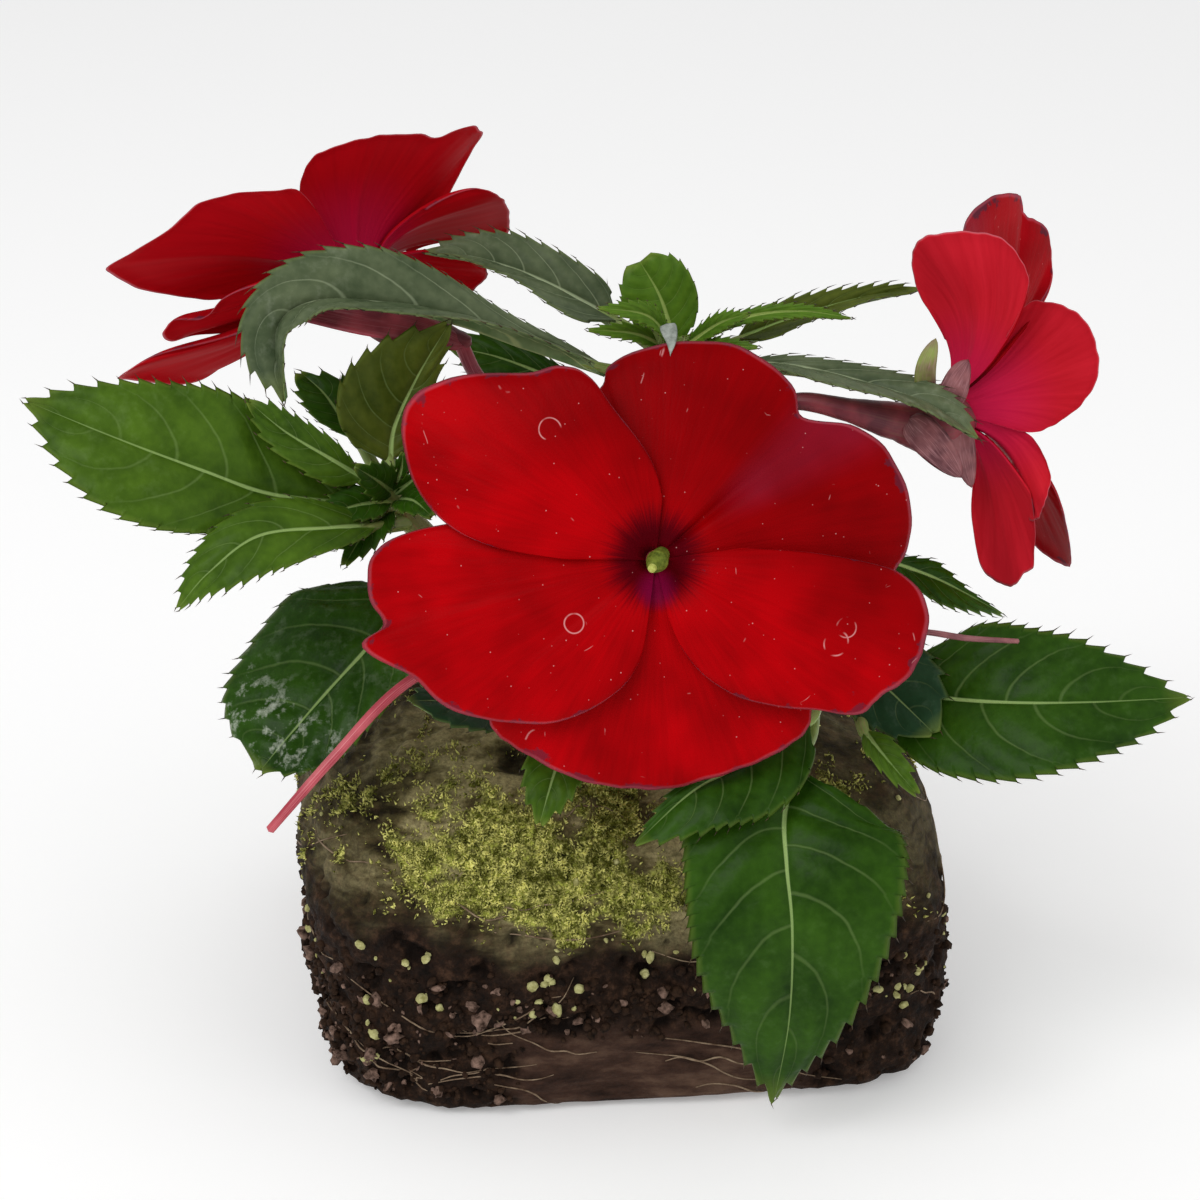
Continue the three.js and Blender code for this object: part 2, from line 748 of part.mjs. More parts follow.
// The front bloom faces the viewer. The rims of its petals are given from the left side of
// each petal to its right side.
const FRONT_BLOOM = {
  centre: [3.8, -48, 81.6],
  face: [-0.02, -0.94, 0.344],
  petals: [
    {
      axis: 55,
      length: 28,
      lift: -4,
      bow: 3,
      cup: -12,
      rim: [[124, 17], [115, 21], [107, 23.5], [102, 25.9], [86, 27.5], [68, 28.5], [53, 27.8], [44, 25.8],
        [34, 30.4], [23, 32.9], [11, 33.5], [2, 32.4], [-4, 30], [-14, 22]],
    },
    {
      axis: 270,
      length: 28.8,
      lift: -4.6,
      bow: 2.6,
      cup: -10,
      rim: [[322, 22], [316, 27.8], [308, 29], [292, 28.5], [272, 28.8], [256, 29], [236, 29.8], [226, 30.1],
        [218, 25]],
    },
    {
      axis: 217,
      length: 31.5,
      lift: -2,
      bow: 2.6,
      cup: -10,
      rim: [[264, 9], [262, 12.5], [255, 16.6], [240, 23.2], [227, 27.9], [217, 31.5], [206, 33.7], [197, 38.3],
        [194, 35.3], [188, 36.5], [182, 36.4], [177, 34], [171, 26.9], [166, 20]],
    },
    {
      axis: -28,
      length: 34,
      lift: -1.8,
      bow: 2.8,
      cup: -10,
      rim: [[8, 11], [6, 13.9], [1, 23.7], [-3, 30.9], [-10, 34.3], [-19, 35], [-26, 34.4], [-31, 32.6],
        [-37, 31.5], [-44, 26.4], [-60, 19.2], [-72, 12.5], [-77, 7.4]],
    },
    {
      axis: 140,
      length: 34.3,
      lift: -0.2,
      bow: 2.8,
      cup: -10,
      rim: [[180, 11], [179, 14], [176, 20.4], [170, 27], [162, 31.8], [153, 35.3], [147, 36.1], [140, 34.3],
        [126, 28.5], [116, 26.7], [110, 23.8], [104, 17.8], [90, 11], [83, 7.5]],
    },
  ],
  anthers: { path: [[3.8, -48.6, 81.8], [3.75, -51, 82.8], [3.7, -53.4, 83.8]], radii: [1.2, 1.9, 1.1] },
  calyx: [
    {
      path: [[3.8, -47, 81.2], [3.6, -42.5, 79.4], [1, -39.5, 76.5], [-6, -38.4, 73], [-16, -39.5, 68],
        [-27.8, -43, 62.9], [-37, -48, 54.6], [-44.6, -52, 46.8]],
      radii: [3.1, 2.9, 1.7, 1.0, 0.85, 0.8, 0.8, 0.75],
    },
    { path: [[5.4, -4, 84], [5.2, -18, 90], [4.6, -32, 88], [3.9, -41.5, 80.4]], radii: [0.9, 0.85, 0.85, 0.95] },
  ],
};

// The left bloom looks up and away to the left, the right one away to the right.
const LEFT_BLOOM = {
  centre: [-36.6, -3, 107],
  face: [-0.35, 0.6, 0.72],
  petals: [
    {
      axis: -3,
      pitch: 12,
      length: 33,
      lift: 0,
      bow: 2,
      fold: [6, -6],
      cup: [16, -16],
      rim: [[50, 12], [42, 17], [30, 21], [20, 24], [7, 29.6], [-2, 33], [-12, 30], [-24, 25], [-40, 15]],
    },
    {
      axis: 96,
      pitch: 30,
      length: 19,
      lift: 0.6,
      bow: 1.5,
      cup: 10,
      rim: [[156, 14], [144, 22], [134, 25], [125, 23.5], [112, 19], [98, 18.5], [82, 19.5], [66, 18.5], [52, 12]],
    },
    {
      axis: 162,
      pitch: 12,
      length: 23,
      lift: -0.4,
      bow: 2,
      cup: 10,
      rim: [[198, 12], [186, 19], [174, 23], [162, 23.8], [150, 21], [138, 12]],
    },
    {
      axis: -36,
      pitch: 0,
      length: 32,
      lift: -0.8,
      bow: -1.5,
      cup: 8,
      rim: [[-14, 14], [-22, 25], [-27, 28], [-32, 26], [-38, 32], [-44, 36], [-52, 28], [-62, 14]],
    },
    {
      axis: 205,
      pitch: 5,
      length: 17,
      lift: -1.2,
      bow: 1.5,
      cup: 8,
      rim: [[240, 10], [228, 15], [214, 17.5], [200, 17], [186, 15], [176, 10]],
    },
  ],
  anthers: { path: [[-36.8, -2.6, 107.5], [-37.6, -1.2, 109.2], [-38.4, 0.2, 110.9]], radii: [1.1, 1.7, 1] },
  calyx: [
    {
      path: [[-20.4, -12.9, 99.3], [-25.5, -12.3, 101.2], [-30.4, -10.6, 102], [-35.2, -7.6, 103.4],
        [-36.3, -3.7, 106.2]],
      radii: [0.9, 1.9, 2.4, 2.4, 2.2],
    },
    {
      path: [[5.6, -4.4, 84], [-4, -6, 86.5], [-14, -10, 90], [-19.2, -12.4, 94.4], [-21.6, -12.8, 99.6]],
      radii: [1, 1, 1, 1, 1],
    },
  ],
};

const RIGHT_BLOOM = {
  centre: [46.5, -8, 89.5],
  face: [0.87, 0.45, 0.1],
  petals: [
    {
      axis: 97,
      pitch: -5,
      length: 25,
      lift: 0.4,
      bow: 2.6,
      cup: -14,
      twist: 45,
      rim: [[147, 10], [137, 17], [125, 22], [111, 25.4], [97, 26.2], [83, 25], [70, 20.6], [58, 14.6], [46, 9]],
    },
    {
      axis: 58,
      pitch: 34,
      length: 28.5,
      lift: 0.8,
      bow: 2,
      cup: 8,
      rim: [[96, 15], [86, 24], [76, 29.4], [68, 29], [60, 27], [52, 30.6], [42, 29.4], [30, 22], [20, 13]],
    },
    {
      axis: 154,
      pitch: 32,
      length: 20,
      lift: 0,
      bow: 2.6,
      cup: -12,
      rim: [[202, 9], [190, 14.4], [174, 18.4], [154, 20.2], [138, 19.5], [124, 16], [112, 10]],
    },
    {
      axis: 262,
      pitch: 6,
      length: 26,
      lift: -0.4,
      bow: 2,
      cup: -14,
      twist: -30,
      rim: [[296, 8], [286, 13], [274, 20.6], [262, 25.6], [252, 26], [243, 21], [234, 12]],
    },
    {
      axis: 234,
      pitch: 12,
      length: 18,
      lift: 0.2,
      bow: 2,
      fold: 26,
      cup: 30,
      rim: [[260, 11], [250, 15.6], [240, 18.2], [230, 18], [220, 15], [210, 10]],
    },
    {
      axis: 276,
      pitch: 32,
      length: 34,
      lift: -0.6,
      bow: 2.4,
      cup: 10,
      rim: [[302, 14], [294, 25], [286, 33.4], [276, 35.4], [267, 31], [258, 22], [250, 13]],
    },
  ],
  anthers: { path: [[47, -7.7, 89.5], [49, -6.7, 89.7], [51, -5.7, 89.9]], radii: [1.1, 1.7, 1] },
  calyx: [
    {
      path: [[20, -13, 90.8], [24, -14, 91.6], [30.2, -14.4, 90.5], [36.8, -12.6, 88.4], [42.5, -10.4, 87],
        [45.7, -8.5, 88.9]],
      radii: [1, 1.2, 1.6, 2.6, 4.2, 3.4],
    },
    { path: [[6.8, -5.4, 90.5], [13, -9.6, 90.4], [21, -13.2, 91]], radii: [1, 1, 1] },
  ],
};

const plant = new THREE.Group();
const add = (name, solid, color, roughness) => plant.add(meshOf(name, solid, color, roughness));

const sleeves = {};
for (const [name, stem] of Object.entries(STEMS)) {
  sleeves[name] = stemSolid(stem, GAP);
  const young = YOUNG_LEAVES[name].map((leaf) => leafBlade({ span: leaf.half[0], fold: 14, inner: false, ...leaf }));
  add("stem_" + name, fuse([stemSolid(stem), ...young]), STEM_GREEN);
}

const ball = fuse([ballSkin(), ...ballGrains()]);
add("root_ball", cutAway(ball, Object.values(sleeves)), PEAT_BROWN, 0.95);

for (const [name, leaf] of Object.entries(LEAVES)) {
  const whole = { span: Math.max(...leaf.half), ...leaf };
  add(name, cutAway(leafSolid(whole), [sleeves[leaf.stem]]), LEAF_GREEN, 0.45);
}

for (const [side, bloom] of Object.entries({ front: FRONT_BLOOM, left: LEFT_BLOOM, right: RIGHT_BLOOM })) {
  const anthers = (extra) => stalk(bloom.anthers.path, bloom.anthers.radii, { extra });
  const calyx = (extra) => fuse(bloom.calyx.map(({ path, radii }) => stalk(path, radii, { extra })));
  const petals = cutAway(bloomPetals(bloom), [anthers(GAP), calyx(GAP)]);
  add("petals_" + side, petals, PETAL_RED, 0.5);
  add("anthers_" + side, cutAway(anthers(0), [calyx(GAP)]), ANTHER_YELLOW);
  add("calyx_" + side, cutAway(calyx(0), [sleeves.centre]), CALYX_MAUVE);
}

export default plant;
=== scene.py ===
# A New Guinea impatiens knocked out of its pot: red blooms and toothed leaves on fleshy stems,
# standing in the rounded-square root ball that kept the shape of the pot.
# Sizes are in millimetres, as in the part, and MM turns them to metres. The frame is the part's
# own: the origin is the centre of the underside of the root ball, and -Y points to the viewer.
import math

import bmesh
import bpy
import numpy as np
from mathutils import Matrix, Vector, noise


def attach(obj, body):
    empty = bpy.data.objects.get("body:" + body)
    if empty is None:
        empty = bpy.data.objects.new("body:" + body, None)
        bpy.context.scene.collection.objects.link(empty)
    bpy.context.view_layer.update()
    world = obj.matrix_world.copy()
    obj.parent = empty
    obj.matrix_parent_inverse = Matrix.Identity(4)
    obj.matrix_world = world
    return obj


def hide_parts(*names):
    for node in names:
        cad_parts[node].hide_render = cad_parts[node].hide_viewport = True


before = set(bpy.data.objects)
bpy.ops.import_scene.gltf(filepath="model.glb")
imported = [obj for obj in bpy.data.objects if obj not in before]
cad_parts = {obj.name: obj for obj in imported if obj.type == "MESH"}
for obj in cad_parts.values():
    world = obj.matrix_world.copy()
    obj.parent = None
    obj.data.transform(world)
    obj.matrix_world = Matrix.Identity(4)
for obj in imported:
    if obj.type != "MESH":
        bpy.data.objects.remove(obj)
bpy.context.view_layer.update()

MM = 0.001
DEGREE = math.pi / 180
MAP_SPAN = 100  # millimetres that a map of places covers

# Root ball
BALL_WIDTH = 90
BALL_DEPTH = 88
BALL_HEIGHT = 48
BALL_TURN = 6  # degrees
BALL_SQUARENESS = 5  # 2 is an ellipse, and more is squarer
CROWN_SQUARENESS = 2.4
CROWN_INSET = 31
BALL_TAPER = 0.025  # share by which the underside is narrower
BALL_LEAN = -2.2  # how far the upper part leans to the left
BALL_FULL_HEIGHT = 28  # where the ball is at its widest
BALL_ROUGHNESS = 0.33
BALL_SIDES = 420
BALL_STEPS = 150

# What the ground of the ball looks like, and where
MOSS_EDGE = 27.2  # height above which moss and algae grow
MOSS_EDGE_RISE = 4.5  # by which that height is more at the left
MOSS_PATCH = (-11, 35.5)  # x and height of the brightest patch
MOSS_PATCH_SIZE = (21, 10)
MOSS_PATCH_SLOPE = 0.13
HOLE_PLACE = (-14.4, -28)
HOLE_SIZE = (2.6, 2.4)
HOLE_DEPTH = 2.6
CHUNK_HEIGHT = 0.75
PIT_DEPTH = 1.5
RELIEF = 0.8

# Leaves
LEAF_SHAPE = (0.72, 0.85)  # how fast a blade widens at its foot and narrows at its tip
LEAF_THICKNESS = 0.55
TOOTH_PITCH = 2.2
TOOTH_DEPTH = 0.5
TOOTH_STEPS = 6  # points on one tooth
TOOTH_REACH = 0.4  # how far a tooth points to the tip, as a share of the pitch
BRISTLE_LENGTH = 1.1
BRISTLE_RADIUS = 0.11
VEIN_COUNT = 6  # side veins along a whole leaf
VEIN_BEND = 0.27  # how far a side vein runs to the tip before it meets the rim
VEIN_CURVE = 1.7
VEIN_OFFSET = 0.45  # by which the right side veins are out of step with the left ones
QUILT_HEIGHT = 0.04  # share of the half width by which the flesh swells between the veins
WAVE_HEIGHT = 0.04
GROOVE_DEPTH = 0.35
GROOVE_WIDTH = 0.55
RIB_HEIGHT = 0.8
RIB_WIDTH = 0.6
VEIN_HEIGHT = 0.1

# Petals
PETAL_THICKNESS = 0.5
PETAL_RAYS = 84
PETAL_RINGS = 40
CLAW_RADIUS = 1.2  # where a petal begins in the throat
THROAT_DEPTH = 3.4
THROAT_RADIUS = 3.9
FURROW_DEPTH = 0.035
FLUTTER = 0.5
RIM_ROLL = 0.55
THROAT_SIDES = 24
SEPAL_THICKNESS = 0.22

# Ways that no tube and no bristle points, from which their round is turned
TUBE_SIDE = (0.3, 0.5, 0.81)
BRISTLE_SIDE = (0.21, 0.43, 0.87)

# Grains on the ball: how many, and the least and greatest radius
CRUMB_COUNT, CRUMB_SIZES = 230, (0.25, 0.8)
FLAKE_COUNT, FLAKE_SIZES = 42, (0.2, 0.95)
PEARL_COUNT, PEARL_SIZES = 34, (0.2, 0.7)
PEARL_CLUSTERS = [(38, 17, 9), (-10, 19.5, 9), (-26, 22, 5), (-33, 12, 4), (2, 22, 3)]
CLUSTER_SIZE = 3
CLUSTER_PEARL_SIZES = (0.5, 0.95)
LEAFLET_COUNT, LEAFLET_SIZES = 14000, (0.12, 0.26)
ROOTLET_COUNT = 64
ROOTLET_BENDS = 7
ROOTLET_RADII = [0.08, 0.13, 0.05]
TANGLE_PLACE = (-22, 9)  # x and height of the tangle of fine roots
TANGLE_SIZE = (7, 6)

# Picture: lamps as place, size and power, and the room, in metres
FLOOR_EDGE = 3
LAMPS = dict(key=((-0.5, -0.7, 0.9), 0.6, 5), fill=((0.7, -0.5, 0.5), 0.8, 1))
LAMP_AIM = (0, 0, 0.06)
ROOM_LIGHT = 0.62

# Camera, in millimetres
CAMERA_PLACE = (-3, -356.08, 194.56)
CAMERA_AIM = (-3, -48, 76.3)
CAMERA_LENS = 80.2
CAMERA_SENSOR = 36

# The root ball's rounded edge: how far in from its widest it is, at a height
BALL_RINGS = [
    (4.5, 0), (2, 0.9), (0.6, 3), (0, 10), (0, 20), (0.4, 29), (2.4, 35), (5.4, 39.4), (9.6, 42.8),
    (15, 45), (22, 46.5), (31, 47.5),
]

# Stems, each as points along it and its radius from foot to tip
STEMS = dict(
    centre=dict(
        path=[(3, 0, 35), (3, -1, 55), (4.5, -3, 75), (6.5, -5, 90), (7, -6, 98)],
        radii=[3, 2.8, 2.5, 2.1, 1.2],
    ),
    left=dict(
        path=[(-11, -9, 35), (-14, -12, 52), (-20, -17, 66), (-28, -23, 78), (-31, -25, 83)],
        radii=[2.4, 2.2, 2, 1.6, 1],
    ),
    right=dict(
        path=[(15, -10, 35), (18, -17, 47), (22, -26, 54), (27, -35, 58)],
        radii=[2.3, 2.1, 1.8, 1.1],
    ),
    back=dict(
        path=[(1, 13, 35), (2, 20, 52), (6, 29, 60), (8, 36, 64)], radii=[2.2, 2, 1.7, 1],
    ),
)

# Leaves. The root is where the stalk leaves its stem, via are points on the stalk, and the rib
# runs from the foot of the blade to its tip. The face is the way that its upper side looks, half
# is its widest left and right of the rib, and edges are its half widths at even steps along it.
# Its halves rise from the rib by fold and further towards the rim by cup, both in degrees, and
# twist turns the blade on its way to the tip. Hair makes its bristles longer.
LEAVES = dict(
    leaf_left_broad=dict(
        root=(-29, -24, 80),
        rib=[
            (-32.5, -28, 81.8), (-44.6, -32, 84.5), (-53.5, -35, 88.9), (-63.2, -36, 93.2),
            (-74.8, -34, 97.5),
        ],
        face=(0.1, -0.75, 0.65), half=(9.5, 11.5),
        edges=(
            [2.6, 4.2, 5.4, 6.8, 8.3, 9.7, 10.6, 10.7, 9.6, 7.2, 4.1],
            [5.3, 8.5, 10, 10.7, 11.1, 11, 10.6, 9.7, 8.5, 6.4, 3.6],
        ),
        fold=12, cup=-10,
    ),
    leaf_left_narrow=dict(
        root=(-30.8, -24.8, 82.8),
        rib=[(-33.2, -27, 84.8), (-37.5, -30, 88.7), (-43.1, -31, 92.7), (-47.5, -30, 96.2)],
        face=(0.3, -0.8, 0.6), half=(3.6, 4),
        edges=(
            [1.8, 2.8, 3.7, 4, 4.3, 4.1, 4, 3.4, 3, 2.2, 1.5],
            [1, 1.7, 2.1, 2.6, 2.8, 2.9, 2.9, 2.8, 2.5, 2.2, 1.5],
        ),
        fold=14,
    ),
    leaf_left_low=dict(
        root=(-28.5, -24, 78),
        rib=[
            (-31.5, -30.4, 79.8), (-37.1, -37.6, 82), (-45.4, -42.8, 82.8), (-51.4, -45.6, 79),
            (-55.4, -45.6, 74.4),
        ],
        face=(0, -0.62, 0.78), half=(5.4, 5.6),
        edges=(
            [2, 3, 3.8, 4.8, 5.9, 6.1, 5.7, 4.8, 3.5, 2.2, 1.1],
            [3.4, 4.6, 5.3, 5.5, 5.2, 4.7, 4.6, 4.4, 3.8, 2.9, 1.7],
        ),
        fold=8, cup=-12,
    ),
    leaf_left_upright=dict(
        root=(-30, -24, 82),
        rib=[(-30.6, -22, 85.5), (-30, -20, 90), (-26.8, -19, 96.7), (-22.8, -19, 103.4)],
        face=(0.2, -0.95, 0.1), half=(9, 4.6),
        edges=(
            [4.4, 6.2, 7.6, 8.6, 9, 8.9, 8.4, 7.6, 6.4, 4.7, 2.6],
            [2, 3.4, 3.8, 4.1, 4.4, 4.4, 3.8, 3.1, 2.5, 2, 1.5],
        ),
        fold=8, cup=-14,
    ),
    leaf_left_behind=dict(
        root=(-29, -23.8, 80), via=[(-32.4, -19.6, 83.4)],
        rib=[(-35, -16.6, 87), (-37.8, -14.6, 90), (-40, -13, 92.5), (-43, -11, 94.6)],
        face=(0.3, -0.7, 0.6), half=(3.6, 3.6),
        edges=(
            [1.7, 2.7, 3.1, 3.6, 3.8, 4, 4.2, 3.9, 3.5, 2.9, 2.1],
            [3, 3.6, 4.1, 4.2, 4.2, 4.2, 4.2, 3.6, 2.8, 1.9, 0.9],
        ),
        fold=10,
    ),
    leaf_left_hanging=dict(
        root=(-20, -17, 66), via=[(-24, -21, 70)],
        rib=[
            (-27.5, -25, 69.5), (-32.6, -30, 63.8), (-39, -34, 57.6), (-44, -37.5, 52.6),
            (-47, -39.5, 49.4),
        ],
        face=(-0.5, -0.75, 0.35), half=(9.5, 14),
        edges=(
            [5.8, 7.6, 8.3, 8.9, 9.1, 8.9, 8.6, 7.9, 7, 5.9, 3.9],
            [9, 12.6, 14.6, 15.6, 15.9, 15.6, 14.6, 13.3, 11.9, 10, 7],
        ),
        fold=6, cup=-16,
    ),
    leaf_under_bloom=dict(
        root=(-15, -13, 54), rib=[(-15, -27, 58), (-21, -37, 58.5), (-27, -43, 60.5)],
        face=(0, -0.6, 0.8), half=(7, 4.6), fold=4, cup=-10,
    ),
    leaf_front_small=dict(
        root=(18, -17, 47.3), via=[(4, -30, 53)],
        rib=[(-6, -40, 57.8), (-8.7, -46, 52.3), (-10.6, -50, 46.9)], face=(0, -0.9, 0.4),
        half=(4, 4.4), fold=10,
    ),
    leaf_right_broad=dict(
        root=(26, -33.5, 57.5),
        rib=[
            (33, -33, 59), (40.5, -37, 58.6), (49.5, -41, 59.5), (60, -42.5, 60.2),
            (72.1, -41, 60.2),
        ],
        face=(-0.05, -0.72, 0.7), half=(11.4, 10.4),
        edges=(
            [3.6, 7, 8.9, 10.6, 11.1, 11.1, 10.6, 9.7, 8, 5.9, 3.3],
            [5.5, 8, 9.8, 10.7, 10.9, 10.9, 10.4, 9.3, 7.7, 5.8, 3.5],
        ),
        fold=6, cup=-10,
    ),
    leaf_right_dark=dict(
        root=(23.4, -28.6, 55.4), rib=[(25.5, -29.6, 64.5), (32, -35, 61.2), (39.6, -42.4, 56)],
        face=(0.2, -0.8, 0.5), half=(8, 5),
        edges=(
            [3.2, 4.5, 5.9, 6.9, 7.6, 8.3, 8, 7.7, 7, 5.7, 3.8],
            [1.5, 2.9, 4.2, 4.9, 5.6, 6.2, 6.4, 6.2, 5.7, 4.9, 3.4],
        ),
        fold=6, cup=-12,
    ),
    leaf_right_back=dict(
        root=(22, -26, 54), via=[(29, -20, 64)],
        rib=[(35, -16, 70), (43.4, -13, 65.8), (52.9, -9, 59.3)], face=(0.2, -0.6, 0.75),
        half=(3.6, 4),
        edges=(
            [1, 1.8, 2.3, 2.5, 2.8, 2.6, 2.1, 1.6, 1.1, 0.8, 0.5],
            [1.4, 2.5, 3.7, 4.1, 4.4, 4.5, 4.1, 3.6, 3, 2.1, 1.1],
        ),
        fold=8,
    ),
    leaf_right_small=dict(
        root=(26.9, -34.8, 57.7), via=[(30.2, -37.2, 56.8)],
        rib=[(30.8, -43, 56.4), (33, -46, 54.4), (37.1, -48, 50)], face=(0.2, -0.8, 0.6),
        half=(2.6, 2.6), fold=24,
    ),
    leaf_front_left=dict(
        root=(26.2, -34, 57.5), via=[(25, -37, 57.2)],
        rib=[(24, -41.6, 57.6), (15.4, -47.5, 54), (8.6, -51, 51.6), (1.6, -54, 46)],
        face=(0.1, -0.6, 0.8), half=(6.2, 5),
        edges=(
            [4.6, 6.6, 7.6, 7.9, 7.8, 7.5, 7, 6.3, 5.4, 4, 2.4],
            [2, 2.7, 3, 3.1, 3.1, 3, 2.8, 2.4, 2, 1.5, 0.9],
        ),
        fold=10, cup=-14,
    ),
    leaf_front_hanging=dict(
        root=(25, -32.4, 56.8), via=[(24.4, -37.6, 53.6)],
        rib=[
            (22, -44.5, 52), (20.4, -49.5, 47.4), (20.5, -54, 42.6), (21.2, -57, 35),
            (21.2, -56, 22), (19.9, -52, 7.6),
        ],
        face=(-0.05, -0.95, 0.3), half=(15, 13.4),
        edges=(
            [10.2, 13.8, 14.9, 15.3, 15.4, 14.8, 13.5, 11.5, 8.9, 5.9, 3.1],
            [7.7, 11.2, 12.8, 13.2, 13.3, 13.3, 13.2, 12.4, 10.8, 7.9, 4.3],
        ),
        fold=8, cup=-16,
    ),
    leaf_top_arched=dict(
        hair=1.5, root=(6.6, -5.4, 93),
        rib=[
            (-1.7, -10, 95.1), (-13.6, -14, 100.3), (-22.6, -17, 104.2), (-31.5, -19, 106.4),
            (-40.2, -21, 107), (-44.4, -24, 104), (-43.3, -28, 96),
        ],
        face=(0, -0.35, 1), half=(5.4, 8),
        edges=(
            [2.4, 3.8, 4.7, 5.2, 5.4, 5.3, 5.2, 5.2, 5.2, 4.8, 3.4],
            [1.8, 3, 4.2, 5.4, 6.5, 7.4, 7.2, 6.4, 5.6, 5, 3.8],
        ),
        fold=(38, 36), twist=-34, cup=-8,
    ),
    leaf_top_left=dict(
        hair=1.5, root=(6.7, -5.6, 95),
        rib=[(-0.3, -2, 99.3), (-11.2, 1, 104.4), (-19.5, 2.4, 107), (-26.6, 2.8, 107.9)],
        face=(0.2, -0.6, 0.8), half=(4.6, 5.4),
        edges=(
            [6.4, 7, 6.6, 5.6, 4.6, 3.6, 2.7, 2, 1.6, 1.3, 0.9],
            [3.8, 4.6, 4.9, 5, 5.1, 5.1, 4.7, 4.1, 3.4, 2.7, 1.6],
        ),
        fold=30,
    ),
    leaf_top_right=dict(
        hair=1.5, root=(6.4, -4.9, 90.4), via=[(10.5, -4.6, 94.2)],
        rib=[(15.3, -4.6, 97.4), (24.2, -2.4, 100.2), (32.5, -0.6, 102.2), (40.6, 1, 103.2)],
        face=(-0.1, -0.5, 0.85), half=(4, 3.6),
        edges=(
            [2.4, 3.1, 3.2, 3.1, 2.8, 2.6, 2.3, 2.1, 1.8, 1.5, 0.9],
            [4.2, 5.2, 5, 4.4, 3.8, 3.3, 3, 2.6, 2.4, 2.1, 1.5],
        ),
        fold=30,
    ),
    leaf_top_right_low=dict(
        hair=1.5, root=(6.7, -5.4, 93.2), via=[(10, -8.4, 95.2)],
        rib=[
            (15, -10.4, 96), (23.7, -12.5, 95.8), (32.9, -15, 94.2), (40.6, -18, 92.2),
            (46.4, -20, 88.6),
        ],
        face=(0.1, -0.35, 0.95), half=(5, 4.4),
        edges=(
            [1.4, 1.9, 2.1, 2.4, 2.9, 3.3, 3.5, 3.6, 3.5, 3.1, 2.2],
            [2.6, 3.9, 4.8, 5.3, 5.5, 5.5, 5.3, 4.8, 4.1, 3.1, 1.9],
        ),
        fold=26, cup=-8,
    ),
    leaf_top_behind=dict(
        hair=1.5, root=(6, -4.4, 86),
        rib=[(0, 0, 86), (-8.6, 3, 89.4), (-17, 5, 92.2), (-23.5, 6, 93.4)], face=(0.1, -0.8, 0.6),
        half=(4.4, 4.4),
        edges=(
            [1.5, 2.6, 3.3, 3.8, 3.9, 4.1, 4.1, 4, 3.8, 3.2, 2.2],
            [1, 1.5, 2, 2.4, 2.7, 3, 3.2, 3.4, 3.4, 3.1, 2.2],
        ),
        fold=6,
    ),
    leaf_back_left=dict(
        root=(4.6, -3.1, 76), rib=[(0, 6, 79), (-8, 22, 77), (-15, 38, 69), (-19, 50, 58)],
        face=(-0.3, 0.2, 1), half=(9, 9), fold=10, cup=-14,
    ),
    leaf_back_right=dict(
        root=(5.2, -3.7, 80), rib=[(11, 5, 81), (21, 20, 77), (29, 34, 69), (34, 47, 57)],
        face=(0.3, 0.2, 1), half=(9, 9), fold=10, cup=-14,
    ),
    leaf_back_middle=dict(
        root=(7, 33, 62.2), via=[(9.6, 38, 61)],
        rib=[(10.4, 43, 61.6), (11, 51, 60), (10.6, 57.6, 53.6), (9, 62, 44)], face=(0.1, 0.5, 0.8),
        half=(8, 8), fold=8, cup=-14,
    ),
    leaf_back_low_left=dict(
        root=(4, 24.5, 56.5), rib=[(-5, 27, 57.5), (-16, 32, 57), (-28, 37, 52), (-38, 41, 43)],
        face=(-0.1, 0.2, 1), half=(8, 8), fold=8, cup=-14,
    ),
    leaf_back_low_right=dict(
        root=(5.4, 27.6, 59), rib=[(13, 28, 58.5), (23, 32, 57.5), (33, 36, 52), (41, 40, 43)],
        face=(0.1, 0.2, 1), half=(8, 8), fold=8, cup=-14,
    ),
)

